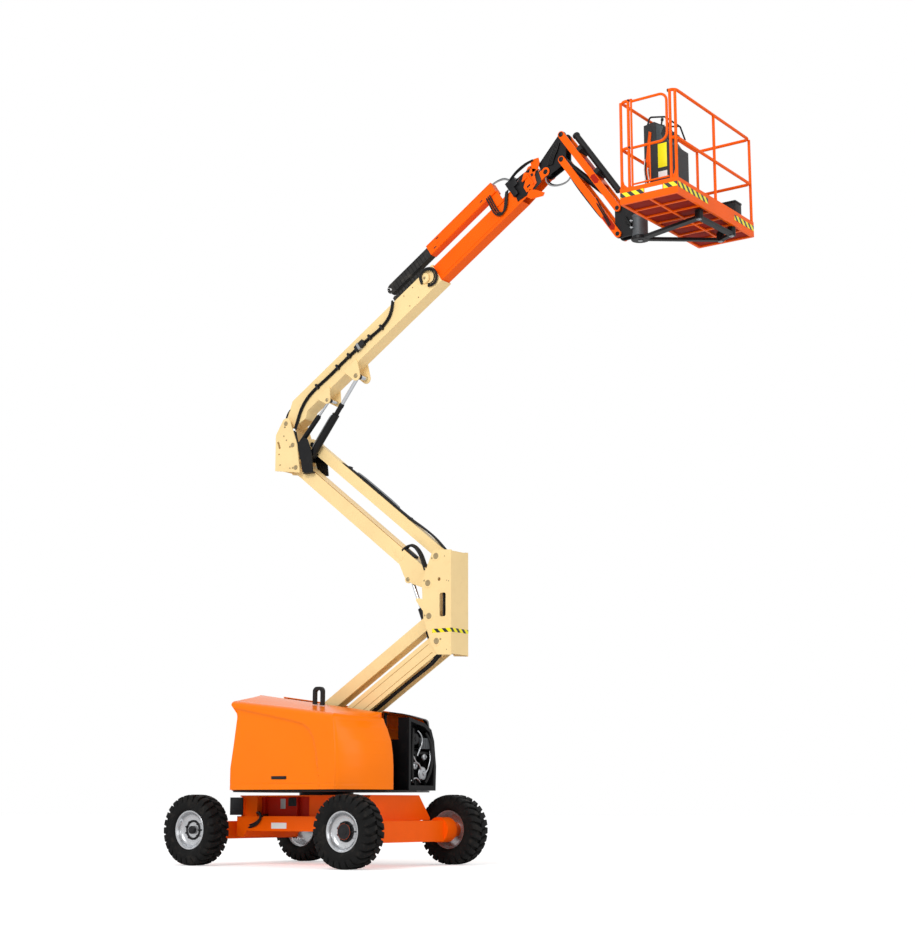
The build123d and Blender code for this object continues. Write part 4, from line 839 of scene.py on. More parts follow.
for i in range(4):
    y = -0.12 + i * 0.024
    hose("foot_hose_" + str(i), ((1.875, y, 2.50), (1.915 + 0.01 * i, y, 2.462), (1.955, y, 2.455),
                                 (1.975, y, 2.50)), 0.013, "lower_upright")

# ================================================================= upper risers
# The lower member is a box beam, the upper one a slimmer link on the far side. Hoses and a grey
# tube are clipped along the link's top, and black hoses cross between the members at the foot.
# A brown strip along the riser's top lip: painted shadow.
boxes("upper_riser_lip", "upper_riser", painted_shadow_brown, [(0.50, 2.42, -0.0865, -0.079, 0.0895, 0.0935)],
      upper_member)
boxes("riser_cover", "upper_riser", cream_enamel, [(0.56, 0.70, -0.0875, -0.084, -0.04, 0.05)],
      upper_member, 0.002)
hose("link_hose", ((0.05, 0.04, 0.060), (0.14, 0.03, 0.085), (0.30, 0.02, 0.112), (0.52, 0.02, 0.105),
                   (0.72, 0.02, 0.083), (1.0, 0.02, 0.083), (1.3, 0.02, 0.085), (1.7, 0.02, 0.083),
                   (1.98, 0.02, 0.083), (2.10, 0.02, 0.06)), 0.0135, "upper_riser_link",
     place=upper_link_member)
hose("link_hose_two", ((0.05, 0.07, 0.060), (0.16, 0.055, 0.085), (0.32, 0.05, 0.105), (0.55, 0.05, 0.100),
                       (0.75, 0.05, 0.083), (1.3, 0.05, 0.083), (1.9, 0.05, 0.083), (2.10, 0.05, 0.06)),
     0.0125, "upper_riser_link", place=upper_link_member)
# Drawn steel tube, plated: smooth mid-grey metal.
tube_grey = surface("drawn_steel_tube", "#7E8184", 0.3, metallic=0.8)
hose("link_tube", ((0.98, 0.035, 0.100), (1.1, 0.035, 0.108), (1.4, 0.035, 0.108), (1.72, 0.035, 0.108),
                   (1.80, 0.035, 0.098)), 0.012, "upper_riser_link", tube_grey, upper_link_member)
clips = bmesh.new()
box(clips, -0.012, 0.012, 0.002, 0.068, 0.069, 0.101)
row = repeated(clips, satin_plastic, 5, step=(0.30, 0, 0), edge=0.003)
row.transform(upper_link_member @ Matrix.Translation((0.75, 0, 0)))
finished("link_clips", row, "upper_riser_link", satin_plastic)
for i in range(3):
    y = -0.078 + i * 0.028
    hose("crossing_hose_" + str(i), ((1.20, y, 3.735), (1.27, y, 3.79 + 0.012 * i), (1.37, y, 3.78),
                                     (1.45, y, 3.69), (1.50, y, 3.58), (1.54, y, 3.47)), 0.015,
         "upper_riser")
boxes("hose_saddle", "upper_riser", satin_plastic, [(0.42, 0.60, -0.079, -0.008, 0.089, 0.118)],
      upper_member, 0.006)

# ================================================================= upper upright
# Two steel cheeks and a web, welded and enamelled in cream, carry the main boom. Black brackets
# between them hold the base pin of the lift cylinder and the pin of the upper link.
painted(black_enamel, "cylinder_bracket")
turnings("upright_bolts", "upper_upright", plated_pin,
         on_near(((-0.60, 5.30), (-0.535, 4.93), (-0.70, 4.99), (-0.645, 5.36)), cheek_y),
         ((0, 0.010), (0.006, 0.010), (0.008, 0.007)), 6)

# ================================================================= hydraulic cylinders
# Honed steel barrels in black enamel with a screwed gland at the rod's end, chromed rods and
# a cross bar at the eye of the lift and levelling rods. A hard pipe runs along the lift barrel.
painted(black_enamel, "tower_barrel", "lift_barrel", "master_barrel", "slave_barrel", "jib_lift_barrel")
painted(hard_chrome, "tower_rod", "lift_rod", "master_rod", "slave_rod", "jib_lift_rod")
boom_member = member((-0.615, 5.520), 32.7)
jib_angle = -55.0
tip_x, lower_tip_z, upper_tip_z = 3.530, 8.200, 8.510
jib_lower_member, jib_upper_member = (member((tip_x, z), jib_angle) for z in (lower_tip_z, upper_tip_z))
lift_lug, master_lug = (1.182, -0.1765), (0.656, -0.136)
lift_base = Vector((-0.255, -0.06, 5.095))
lift_tip = boom_member @ Vector((lift_lug[0], -0.06, lift_lug[1]))
master_base = Vector((-0.495, -0.06, 5.225))
master_tip = boom_member @ Vector((master_lug[0], -0.06, master_lug[1]))
slave_base, slave_tip = (boom_member @ Vector(point) for point in ((4.088, 0, 0.096), (4.688, 0, 0.186)))
jib_base, jib_tip = Vector((tip_x, 0.0, lower_tip_z)), jib_upper_member @ Vector((1.1, 0, 0))
glands = (
    # name, ends of the cylinder, distance of the barrel's end, radius of barrel and of rod, body
    ("lift", lift_base, lift_tip, 0.762, 0.031, 0.024, "lift_barrel"),
    ("master", master_base, master_tip, 0.500, 0.024, 0.016, "master_barrel"),
    ("slave", slave_base, slave_tip, 0.480, 0.022, 0.014, "slave_barrel"),
    ("jib", jib_base, jib_tip, 0.780, 0.028, 0.018, "jib_barrel"),
)
for name, base, tip, reach, outer, rod, body in glands:
    way = (tip - base).normalized()
    turnings(name + "_gland", body, black_enamel, [(base + way * (reach - 0.045), way)],
             ((0, outer + 0.0005), (0.0, outer + 0.004), (0.030, outer + 0.004), (0.034, outer + 0.001),
              (0.044, outer - 0.002), (0.047, rod + 0.004), (0.047, rod + 0.0015), (0.0, rod + 0.0015)),
             ring=True)
lift_way = (lift_tip - lift_base).normalized()
lift_up = Vector((-lift_way.z, 0, lift_way.x))
hose("lift_pipe", [lift_base + lift_way * a + Vector((0, -b, 0)) + lift_up * c for a, b, c in
                   ((0.07, 0.040, 0.02), (0.10, 0.060, 0.02), (0.25, 0.060, 0.02), (0.50, 0.060, 0.02),
                    (0.57, 0.056, 0.02), (0.59, 0.040, 0.015))], 0.007, "lift_barrel", tube_grey)
for name, tip, half in (("lift", lift_tip, 0.036), ("master", master_tip, 0.026)):
    turnings(name + "_rod_eye", name + "_rod", black_enamel, [((tip.x, -0.0925, tip.z), (0, 1, 0))],
             ((0, half), (0.065, half)), 32, edge=0.003)

# ================================================================= main boom
# A folded box section in cream enamel. Three black hoses run up its near side in clamps to a
# connector block, and a cable loops round the boss at its head.
route = ((0.05, -0.130), (0.13, -0.072), (0.235, 0.008), (0.35, 0.066), (0.47, 0.094), (0.63, 0.103),
         (0.83, 0.089), (1.20, 0.098), (1.42, 0.090), (1.60, 0.080), (1.79, 0.062), (1.95, 0.075),
         (2.08, 0.150), (2.14, 0.232))
for i, (y, dn, radius) in enumerate(((-0.112, 0.0, 0.0115), (-0.112, 0.024, 0.0115),
                                     (-0.1305, 0.012, 0.011))):
    hose("boom_hose_" + str(i), [(s, y, n + dn) for s, n in route], radius, "main_boom", place=boom_member)
route = ((0.045, -0.165), (0.015, -0.24), (-0.005, -0.32), (-0.02, -0.40), (-0.05, -0.50))
for i, (y, dn) in enumerate(((-0.127, 0.0), (-0.1455, 0.012))):
    hose("upright_hose_low_" + str(i), [(s, y, n + dn) for s, n in route], 0.0115, "upper_upright",
         place=boom_member)
root_lane = -0.0925
route = ((0.110, 0.163), (0.060, 0.158), (0.0, 0.120), (-0.055, 0.070), (-0.066, 0.020), (-0.037, -0.030))
hose("root_hose", [(s, root_lane, n) for s, n in route], 0.011, "main_boom", place=boom_member)
clamps = ((0.63, 0.113), (1.02, 0.106), (1.24, 0.110), (1.62, 0.092), (1.83, 0.075))
boxes("hose_clamps", "main_boom", satin_plastic, [(s - 0.014, s + 0.014, -0.145, -0.0995, n - 0.034,
                                                   n + 0.034) for s, n in clamps], boom_member, 0.004)
boxes("connector_block", "main_boom", satin_plastic, [(1.365, 1.52, -0.150, -0.0995, 0.060, 0.140)],
      boom_member, 0.006)
boxes("connector_band", "main_boom", grey_plate, [(1.41, 1.445, -0.153, -0.0995, 0.055, 0.146)],
      boom_member, 0.003)
cable = ((2.60, -0.118, 0.12), (2.61, -0.122, 0.19), (2.66, -0.126, 0.240), (2.75, -0.126, 0.240),
         (2.83, -0.126, 0.175), (2.845, -0.126, 0.085), (2.80, -0.126, 0.005), (2.72, -0.124, -0.012),
         (2.66, -0.12, 0.03))
hose("boom_loop", cable, 0.0165, "main_boom", place=boom_member)
inner_cable = [(2.72 + (s - 2.72) * 0.8, y - 0.012, 0.115 + (n - 0.115) * 0.8) for s, y, n in cable]
hose("boom_loop_two", inner_cable, 0.008, "main_boom", place=boom_member)
boss_at = (2.67, 0.15)
turnings("boom_boss", "main_boom", cream_enamel, on_near([boss_at], 0.1215),
         ((0, 0.062), (0.003, 0.062), (0.005, 0.058)), 48, place=boom_member)
turnings("boss_bolt", "main_boom", plated_pin, on_near([boss_at], 0.126),
         ((0, 0.020), (0.003, 0.020), (0.0035, 0.012), (0.012, 0.012), (0.014, 0.009)), 6,
         place=boom_member)
for i, n in enumerate((0.02, 0.19)):
    pad_bolt = bmesh.new()
    turned(pad_bolt, (0, 0, 0), outward_near, ((-0.001, 0.009), (0.004, 0.009), (0.0055, 0.007)), 6)
    row = repeated(pad_bolt, plated_pin, 2, step=(0.16, 0, 0))
    row.transform(boom_member @ Matrix.Translation((2.30, -0.1, n)))
    finished("pad_bolts_" + str(i), row, "main_boom", plated_pin)
for i, (lug_at, radius) in enumerate(((lift_lug, 0.030), (master_lug, 0.023))):
    turnings("lug_head_" + str(i), "main_boom", plated_pin, on_near([lug_at], 0.1125),
             ((0, radius), (0.005, radius), (0.007, radius * 0.85)), 36, place=boom_member)

# ================================================================= cable carrier
# A chain of moulded black nylon links holds the cables: one run is fixed on the boom's top, the
# other is carried by the tray and ends in a rounded turn.
# Injection-moulded nylon: dark and satin, greyed by dust.
nylon = surface("moulded_nylon", "#1C1B1A", 0.45, shade=0.15, relief=0.15, grime="#6E675C", dirt=0.35)
painted(nylon, "cable_carrier")
link_pitch = 0.055


def link_run(name, low, high, count, start, body):
    """Row of carrier links between two heights over the boom."""
    bm = bmesh.new()
    middle, half = (low + high) / 2, (high - low) / 2
    turns = [math.pi * k / 6 for k in range(7)]
    outline = [(0.004 + 0.010 * (1 - math.cos(a)), middle - half * math.cos(a)) for a in turns]
    outline += [(0.050, high - 0.004), (0.053, middle), (0.050, low + 0.004)]
    for y in (-0.0965, -0.012):
        plate(bm, outline, y, y + 0.006)
    for n in (low, high - 0.008):
        box(bm, 0.016, 0.040, -0.092, -0.010, n, n + 0.008)
    row = repeated(bm, nylon, count, step=(link_pitch, 0, 0), edge=0.0015)
    row.transform(boom_member @ Matrix.Translation((start, 0, 0)))
    finished(name, row, body, nylon)


link_run("fixed_links", 0.236, 0.298, 10, 2.15, "main_boom")
link_run("moving_links", 0.352, 0.470, 13, 2.19, "fly_boom")
turn_s, turn_n, turn_outer, turn_inner, turn_gap = 2.20, 0.408, 0.063, 0.022, 0.06
turn_links = bmesh.new()
for k in range(5):
    start = math.pi / 2 + math.pi * k / 5 + turn_gap
    end = math.pi / 2 + math.pi * (k + 1) / 5 - turn_gap
    corners = ((turn_outer, start), (turn_outer, end), (turn_inner, end), (turn_inner, start))
    for y in (-0.0965, -0.0185):
        plate(turn_links, [(turn_s + radius * math.cos(a), turn_n + radius * math.sin(a))
                           for radius, a in corners], y, y + 0.008, boom_member)
finished("turning_links", turn_links, "fly_boom", nylon, 0.001)

# ================================================================= fly boom and cable tray
# The fly is a box section in orange enamel that slides in the main boom. At its head stand the
# tray's bracket, hoses in U-bends, a valve block and folded plates round the leveller.


def plates(name, body, finish, outlines, low, high, place=Matrix(), edge=0.0):
    """Piece of flat plates of one thickness."""
    bm = bmesh.new()
    for corners in outlines:
        plate(bm, corners, low, high, place)
    return finished(name, bm, body, finish, edge)


painted(orange_enamel, "fly_boom", "cable_tray")
tray = nodes["cable_tray"].data
tray.materials.append(nylon)
to_boom = boom_member.inverted() @ nodes["cable_tray"].matrix_world
tray_sheet_from = 2.895
for face in tray.polygons:
    face.material_index = 1 if (to_boom @ face.center).x < tray_sheet_from else 0
boxes("tray_edges", "fly_boom", orange_enamel,
      [(2.905, 4.045, -0.1135, -0.1095, n, n + 0.008) for n in (0.344, 0.480)]
      + [(s, s + 0.04, -0.1125, -0.1095, 0.405, 0.42) for s in (2.96, 3.03, 3.86, 3.97)],
      boom_member, 0.001)
boxes("tray_slots", "fly_boom", satin_plastic,
      [(s, s + 0.045, -0.1112, -0.1097, n, n + 0.012)
       for s, n in ((2.975, 0.375), (3.06, 0.455), (3.80, 0.38))], boom_member)
for i in range(3):
    drop, fold = 0.028 * i, 0.0168 * i
    hose("u_hose_" + str(i), ((3.90 + drop, -0.112, 0.36), (3.885 + drop, -0.108, 0.24),
                              (3.875 + drop, -0.104, 0.10 - 0.02 * i),
                              (3.95 + drop, -0.103, 0.02 + 0.01 * i), (4.04 + fold, -0.104, 0.09),
                              (4.10 + fold, -0.104, 0.18), (4.15 + fold, -0.10, 0.235)), 0.0095,
         "fly_boom", place=boom_member)
for i in range(3):
    y = -0.085 - 0.013 * i
    hose("top_hose_" + str(i), ((4.27, y, 0.315), (4.36, y, 0.338), (4.48, y, 0.326 + 0.006 * i),
                                (4.58, y, 0.318), (4.65, y - 0.004, 0.285)), 0.0085, "fly_boom",
         place=boom_member)
# Grey braided sleeve: a dull grey with a weave of about 1 mm.
grey_hose = surface("braided_grey_hose", "#8B8D8E", 0.4, relief=0.2, grains_per_metre=900.0)
for i, finish in enumerate((grey_hose, hose_rubber, grey_hose)):
    y, lift = -0.07 + 0.02 * i, 0.018 * i
    hose("arc_hose_" + str(i), ((3.90, y, 0.45), (3.98, y, 0.478 + lift), (4.12, y, 0.462 + lift),
                                (4.24, y, 0.39 + lift), (4.28, y, 0.28)), 0.008, "fly_boom", finish,
         boom_member)
valve = bmesh.new()
box(valve, 4.19, 4.33, -0.105, 0.03, 0.205, 0.325, boom_member)
box(valve, 4.20, 4.27, -0.115, -0.09, 0.09, 0.21, boom_member)
for s in (4.215, 4.255, 4.295):
    turned(valve, (s, -0.06, 0.325), upward, ((-0.002, 0.014), (0.012, 0.014), (0.014, 0.010),
                                              (0.024, 0.010)), 20, place=boom_member)
finished("valve_block", valve, "fly_boom", black_enamel, 0.004)
folded = bmesh.new()
for corners in (
    ((4.36, 0.10), (4.43, 0.16), (4.40, 0.20), (4.47, 0.255), (4.52, 0.20), (4.56, 0.235), (4.62, 0.17),
     (4.56, 0.12), (4.53, 0.02), (4.44, -0.005), (4.36, 0.02)),
    ((4.41, 0.025), (4.48, -0.055), (4.545, -0.165), (4.505, -0.185), (4.36, -0.095), (4.33, -0.03)),
    ((4.555, 0.165), (4.60, 0.285), (4.655, 0.300), (4.72, 0.265), (4.70, 0.205), (4.63, 0.145)),
):
    plate(folded, corners, -0.098, -0.090, boom_member)
box(folded, 4.39, 4.47, -0.112, -0.096, 0.165, 0.185, boom_member)
box(folded, 4.48, 4.50, -0.118, -0.096, 0.03, 0.20, boom_member)
finished("folded_plates", folded, "fly_boom", orange_enamel, 0.002)
plates("head_backing", "fly_boom", black_enamel, [((4.20, 0.02), (4.24, 0.20), (4.42, 0.262), (4.60, 0.245),
                                                   (4.625, 0.14), (4.585, -0.01), (4.44, -0.025))], -0.0868,
       -0.0806, boom_member, 0.001)
boxes("folded_slots", "fly_boom", black_enamel, [(4.40, 4.45, -0.101, -0.097, 0.055, 0.075),
                                                 (4.52, 4.55, -0.101, -0.097, 0.13, 0.165)], boom_member)
for i, (y, dn, finish) in enumerate(((-0.080, 0.0, hose_rubber), (-0.062, 0.012, grey_hose),
                                     (0.072, 0.004, hose_rubber))):
    hose("head_hose_" + str(i), ((4.30, y, 0.27), (4.38, y, 0.264 + dn), (4.47, y, 0.255 + dn),
                                 (4.53, y, 0.225 + dn), (4.555, y, 0.17)), 0.0085, "fly_boom", finish,
         boom_member)

# ================================================================= boom tip
# Two steel plates in black enamel, kept level by the levelling cylinder, carry the jib's two
# links on pins with caps. A hose loop hangs below them.
painted(black_enamel, "boom_tip")
turnings("jib_pin_caps", "boom_tip", black_enamel,
         on_both(((tip_x, lower_tip_z), (tip_x, upper_tip_z)), 0.0955),
         ((0, 0.030), (0.006, 0.030), (0.009, 0.025)), 36)
hose("tip_loop", ((3.30, -0.055, 8.12), (3.275, -0.05, 8.04), (3.30, -0.04, 7.96), (3.38, -0.03, 7.915),
                  (3.50, -0.02, 7.912), (3.585, -0.01, 7.95), (3.61, 0.0, 8.00)), 0.0085, "boom_tip",
     grey_hose)
hose("tip_loop_two", ((3.31, -0.02, 8.12), (3.285, -0.02, 8.05), (3.31, -0.01, 7.975), (3.39, 0.0, 7.93),
                      (3.50, 0.0, 7.928), (3.58, 0.01, 7.965), (3.60, 0.01, 8.01)), 0.0095, "boom_tip")
for i in range(4):
    x = 3.33 + 0.02 * i
    hose("tip_hose_" + str(i), ((x, -0.075, 8.17), (x + 0.03, -0.082, 8.26), (x + 0.08, -0.082, 8.33),
                                (x + 0.10, -0.075, 8.42)), 0.009, "boom_tip")

# ================================================================= jib
# Two links of paired orange plates, with cross plates and insets in dark red as painted shade. A black
# cylinder runs between them, a fat hose tube over the upper one, and hoses along the lower one.
painted(orange_enamel, "jib_lower", "jib_upper")
painted(hose_rubber, "hose_tube")
# Cross plates in dark red between the link plates: painted shade.
boxes("upper_cross_plate", "jib_upper", painted_shade_enamel, [(0.42, 0.80, -0.074, 0.074, 0.0295, 0.0445)],
      jib_upper_member, 0.001)
boxes("lower_cross_plate", "jib_lower", painted_shade_enamel, [(0.40, 0.88, -0.074, 0.074, -0.0445, -0.0295)],
      jib_lower_member, 0.001)
# Dark red insets on the near plates: painted shade.
plates("upper_link_inset", "jib_upper", painted_shade_enamel,
       [((0.735, -0.034), (0.725, 0.0), (0.745, 0.034), (0.850, 0.034), (0.865, 0.0), (0.845, -0.034))],
       -0.0958, -0.0942, jib_upper_member)
plates("lower_link_inset", "jib_lower", painted_shade_enamel,
       [((1.00, -0.034), (0.985, 0.0), (1.005, 0.034), (1.20, 0.034), (1.235, 0.0), (1.20, -0.034))],
       -0.0958, -0.0942, jib_lower_member)
for i in range(2):
    n = 0.022 * i
    hose("link_side_hose_" + str(i), ((0.74, -0.07, 0.05 - n), (0.82, -0.098, 0.042 - n),
                                      (0.93, -0.1045, 0.034 - n), (1.05, -0.1045, 0.018 - n),
                                      (1.15, -0.100, -0.004 - n)), 0.0085, "jib_lower",
         place=jib_lower_member)
tube_n = 0.118
caps = bmesh.new()
for s, profile in ((0.085, ((0, 0.020), (0.004, 0.040), (0.016, 0.045), (0.034, 0.045), (0.040, 0.039))),
                   (1.075, ((0, 0.0385), (0.010, 0.041), (0.022, 0.036)))):
    turned(caps, (s, 0, tube_n), forward, profile, 36, place=jib_upper_member)
finished("hose_tube_caps", caps, "jib_upper", satin_plastic)
for i, y in enumerate((-0.068, -0.048, 0.062)):
    n = 0.004 * i
    hose("jib_hose_" + str(i), ((0.14, y, -0.02), (0.26, y, -0.046 - n), (0.5, y, -0.055),
                                (0.75, y, -0.052 - n), (0.93, y, -0.05), (1.06, y, -0.03), (1.12, y, 0.0)),
         0.0095, "jib_lower", place=jib_lower_member)
turnings("jib_rivets", "jib_upper", orange_enamel,
         on_near([(s, 0.036) for s in (0.36, 0.44, 0.78, 0.86)], 0.0945),
         ((0, 0.006), (0.003, 0.005)), 12, place=jib_upper_member)

# ================================================================= jib end
# Steel plates in black enamel join the jib's two links to a rotary actuator, which has a cast
# grey case and turns the platform.
painted(black_enamel, "jib_end")
rotator_x = 4.52
turnings("rotator_case", "jib_end", cast_grey, [((rotator_x, 0, 7.052), upward)],
         ((0.023, 0.0905), (0.03, 0.094), (0.055, 0.094), (0.06, 0.0905), (0.24, 0.0905), (0.245, 0.094),
          (0.27, 0.094), (0.28, 0.088), (0.294, 0.070), (0.294, 0.03)), 64)
turnings("rotator_fittings", "jib_end", dull_steel, on_near(((4.46, 7.17), (4.46, 7.25)), 0.082),
         ((0, 0.016), (0.014, 0.016), (0.016, 0.011), (0.030, 0.011)), 6)
for i in range(3):
    hose("end_hose_" + str(i), ((4.375, -0.080, 7.325 - 0.035 * i), (4.40, -0.090, 7.285 - 0.025 * i),
                                (4.43, -0.094, 7.235 - 0.01 * i), (4.46, -0.095, 7.17 + 0.03 * i)), 0.009,
         "jib_end")

# ================================================================= platform
# The platform is welded from steel tube and sheet in orange enamel. Black support arms bolt
# under it, its underside shows dark red panels of painted shade between the ribs, and its toe boards are striped.
painted(orange_enamel, "platform_floor")
painted(black_enamel, "platform_support")
# Painted shade under the floor: the orange enamel darkened to a dark, dull red, with dirt stains in patches.
painted_shade_red = surface("painted_shade_floor_panel", "#8A1704", 0.55, "orange_paint", shade=0.15, shine=0.1,
                   grime="#3A120A", dirt=0.4)
rear_x, front_x, side_y = 4.808, 5.482, 0.899
rib, panels_along = 0.026, 7
panel_w, panel_l = 0.312, (1.834 - 0.060 - rib * 6) / panels_along
corners = [(4.820 + row * (panel_w + rib), -0.887 + column * (panel_l + rib))
           for row in range(2) for column in range(panels_along)]
# Thin dark red plates in the floor's recesses between the ribs: painted shade of the underside.
boxes("floor_panels", "platform", painted_shade_red, [(x + 0.001, x + panel_w - 0.001, y + 0.001,
                                              y + panel_l - 0.001, 7.1450, 7.1478) for x, y in corners],
      edge=0.0005)
side_stripes = [(low, high, y, y + 0.0016, 7.208, 7.262) for low, high in ((4.795, 5.085), (5.325, 5.495))
                for y in (-0.9188, 0.9172)]
end_stripes = [(x, x + 0.0016, low, high, 7.200, 7.262) for low, high in ((-0.913, -0.22), (0.42, 0.913))
               for x in (5.5002, 4.7882)]
boxes("toe_board_stripes", "platform", hazard, side_stripes + end_stripes)
boxes("toe_board_plate", "platform", white_vinyl, [(5.095, 5.315, -0.9190, -0.9172, 7.210, 7.257)],
      edge=0.0005)
pins = bmesh.new()
for x, y, share in ((5.41, -0.27, 1), (5.44, 0.46, 1), (5.25, 0.56, 1), (rotator_x, 0.0, 0.9)):
    head = ((0, 0.030), (0.008, 0.030), (0.011, 0.024), (0.0112, 0.012), (0.017, 0.011))
    turned(pins, (x, y, 7.0345), (0, 0, -1), [(reach, radius * share) for reach, radius in head], 36)
finished("support_pins", pins, "platform", dull_steel)
turnings("support_hub", "platform", black_enamel, [((rotator_x, 0, 7.033), upward)],
         ((0, 0.100), (0.005, 0.105), (0.030, 0.105), (0.035, 0.100), (0.035, 0.032), (0, 0.032)), 56,
         ring=True)

# ================================================================= guard rails
# Round steel tube, bent at the corners, welded to square-cut posts with small gussets, in orange
# enamel. The open ends beside the gate carry black plastic caps.


def bent_tube(bm, points, radius, bend):
    """Round tube along straight runs with bends of one radius."""
    path = [Vector(points[0])]
    for before, corner, after in zip(points, points[1:], points[2:]):
        corner = Vector(corner)
        back = (Vector(before) - corner).normalized()
        ahead = (Vector(after) - corner).normalized()
        half = back.angle(ahead) / 2
        reach = bend / math.tan(half)
        centre = corner + (back + ahead).normalized() * (bend / math.sin(half))
        start, end = corner + back * reach - centre, corner + ahead * reach - centre
        for k in range(9):
            share = k / 8
            path.append(centre + (start * (1 - share) + end * share).normalized() * bend)
    path.append(Vector(points[-1]))
    curve = bpy.data.curves.new("tube", "CURVE")
    curve.dimensions = "3D"
    curve.bevel_depth = radius
    curve.bevel_resolution = 4
    curve.use_fill_caps = True
    spline = curve.splines.new("POLY")
    spline.points.add(len(path) - 1)
    for point, at in zip(spline.points, path):
        point.co = (*at, 1.0)
    holder = bpy.data.objects.new("tube", curve)
    bm.from_mesh(bpy.data.meshes.new_from_object(holder))
    bpy.data.objects.remove(holder)


rail_radius, rail_bend, post_radius = 0.018, 0.06, 0.0165
post_foot, post_height, mid_rail_z, top_rail_z = 7.309, 1.0, 7.770, 8.316
gate_from, gate_to = 4.902, 5.418
gate_post_x = 4.940
rails = bmesh.new()
for z in (mid_rail_z, top_rail_z):
    bent_tube(rails, ((5.400, -side_y, z), (front_x, -side_y, z), (front_x, side_y, z), (rear_x, side_y, z),
                      (rear_x, -side_y, z), (4.906, -side_y, z)), rail_radius, rail_bend)
posts = ((rear_x, -side_y), (front_x, -side_y), (front_x, side_y), (rear_x, side_y), (rear_x, 0.0),
         (front_x, 0.0), (gate_from, -side_y), (gate_to, -side_y))
for x, y in posts:
    turned(rails, (x, y, post_foot), upward, ((0, post_radius), (post_height, post_radius)), 28)
    turned(rails, (x, y, post_foot), upward, ((0, 0.0178), (0.012, 0.0178), (0.020, 0.0168)), 28)
for z in (7.312, 8.318):
    box(rails, 4.910, 4.952, -side_y - 0.012, -side_y + 0.012, z, z + 0.010)
for z in (7.312, 8.288):
    turned(rails, (gate_post_x, -side_y, z), upward, ((0, 0.005), (0.04, 0.005)), 16)
for x, way in ((front_x, -1), (rear_x, 1)):
    gusset = ((0.012, post_foot), (0.012, 7.425), (0.030, 7.360), (0.085, post_foot))
    plate(rails, [(x + way * reach, z) for reach, z in gusset], -side_y - 0.004, -side_y + 0.004)
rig.replaces(finished("rails", rails, "platform", orange_enamel, angle=40), "guard_rails")
turnings("rail_end_caps", "platform", satin_plastic,
         [((x, -side_y, z), (way, 0, 0)) for z in (mid_rail_z, top_rail_z)
          for x, way in ((gate_from, 1), (5.406, -1))],
         ((0, 0.0187), (0.012, 0.0187), (0.015, 0.015)), 28)

# ================================================================= gate
# A rounded loop of steel tube in orange enamel, welded to a hinge post, with a lower bar. It
# swings inward.
loop_x0, loop_x1, loop_z0, loop_z1 = 4.949, 5.377, 7.760, 8.300
loop_radius, loop_bend, bar_z = 0.015, 0.09, 7.342
gate = bmesh.new()
bent_tube(gate, ((loop_x0, -side_y, loop_z0), (loop_x1, -side_y, loop_z0), (loop_x1, -side_y, loop_z1),
                 (loop_x0, -side_y, loop_z1)), loop_radius, loop_bend)
turned(gate, (gate_post_x, -side_y, 7.330), upward, ((0, 0.012), (0.984, 0.012)), 28)
bent_tube(gate, ((loop_x0, -side_y, bar_z), (5.390, -side_y, bar_z)), 0.010, 0.02)
bent_tube(gate, ((5.16, -side_y, 7.345), (5.16, -side_y, 7.755)), 0.008, 0.02)
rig.replaces(finished("gate_frame", gate, "gate", orange_enamel, angle=40), "gate")

# ================================================================= control console
# A cabinet moulded in dark plastic with a steel guard: blank yellow and white plates on its
# flank, a sloping panel with switches and two joysticks on top, and cables at its foot.
# Moulded polyethylene: charcoal and satin, with a grain of 1 to 2 mm.
console_grey = surface("charcoal_plastic", "#26292B", 0.42, relief=0.15, grains_per_metre=700.0)
# The control panel's overlay: slate grey and a little smoother.
panel_grey = surface("slate_plastic", "#3E4A4E", 0.38, relief=0.1, grains_per_metre=700.0)
# Yellow vinyl film: even and bright, with a low sheen.
plate_yellow = surface("yellow_vinyl", "#F0E800", 0.4, "cream_paint", shade=0.03)
painted(console_grey, "console")
plates("console_side_panel", "platform", panel_grey, [((4.99, 7.985), (5.075, 7.985), (5.045, 8.055),
                                                       (5.078, 8.135), (4.985, 8.19))], -0.4245, -0.4205,
       edge=0.001)
for name, finish, low, high in (("yellow", plate_yellow, 7.665, 7.945),
                                ("white", white_vinyl, 7.545, 7.620)):
    boxes("console_" + name + "_plate", "platform", finish, [(5.00, 5.112, -0.4225, -0.4203, low, high)],
          edge=0.0006)
guard = bmesh.new()
for y in (-0.41, -0.07):
    bent_tube(guard, ((4.86, y, 8.16), (4.90, y, 8.29), (5.10, y, 8.25), (5.16, y, 8.07)), 0.010, 0.03)
bent_tube(guard, ((5.10, -0.41, 8.245), (5.10, -0.07, 8.245)), 0.010, 0.03)
finished("console_guard", guard, "platform", black_enamel)
controls = bmesh.new()
for y in (-0.33, -0.15):
    turned(controls, (5.00, y, 8.19), (0.2, 0, 1), ((0, 0.030), (0.012, 0.026), (0.020, 0.010),
                                                    (0.055, 0.009), (0.060, 0.016), (0.085, 0.017),
                                                    (0.092, 0.010)), 28)
for k in range(5):
    turned(controls, (5.045, -0.36 + 0.06 * k, 8.155), (0.4, 0, 1),
           ((0, 0.011), (0.010, 0.010), (0.014, 0.006), (0.028, 0.005)), 20)
finished("console_controls", controls, "platform", satin_plastic)
for i in range(3):
    x = 4.862 + 0.03 * i
    hose("console_cable_" + str(i), ((x + 0.008, -0.422, 7.56), (x, -0.423, 7.46),
                                     (x + 0.013, -0.415, 7.36), (x + 0.038, -0.39, 7.26),
                                     (x + 0.068, -0.35, 7.195), (x + 0.088, -0.30, 7.172)), 0.010,
         "platform")
bracket = bmesh.new()
plate(bracket, ((4.828, 7.62), (4.872, 7.60), (4.925, 8.10), (4.893, 8.12)), -0.4300, -0.4205)
box(bracket, 4.824, 4.836, -0.430, -0.34, 7.62, 7.80)
finished("console_bracket", bracket, "platform", orange_enamel, 0.002)
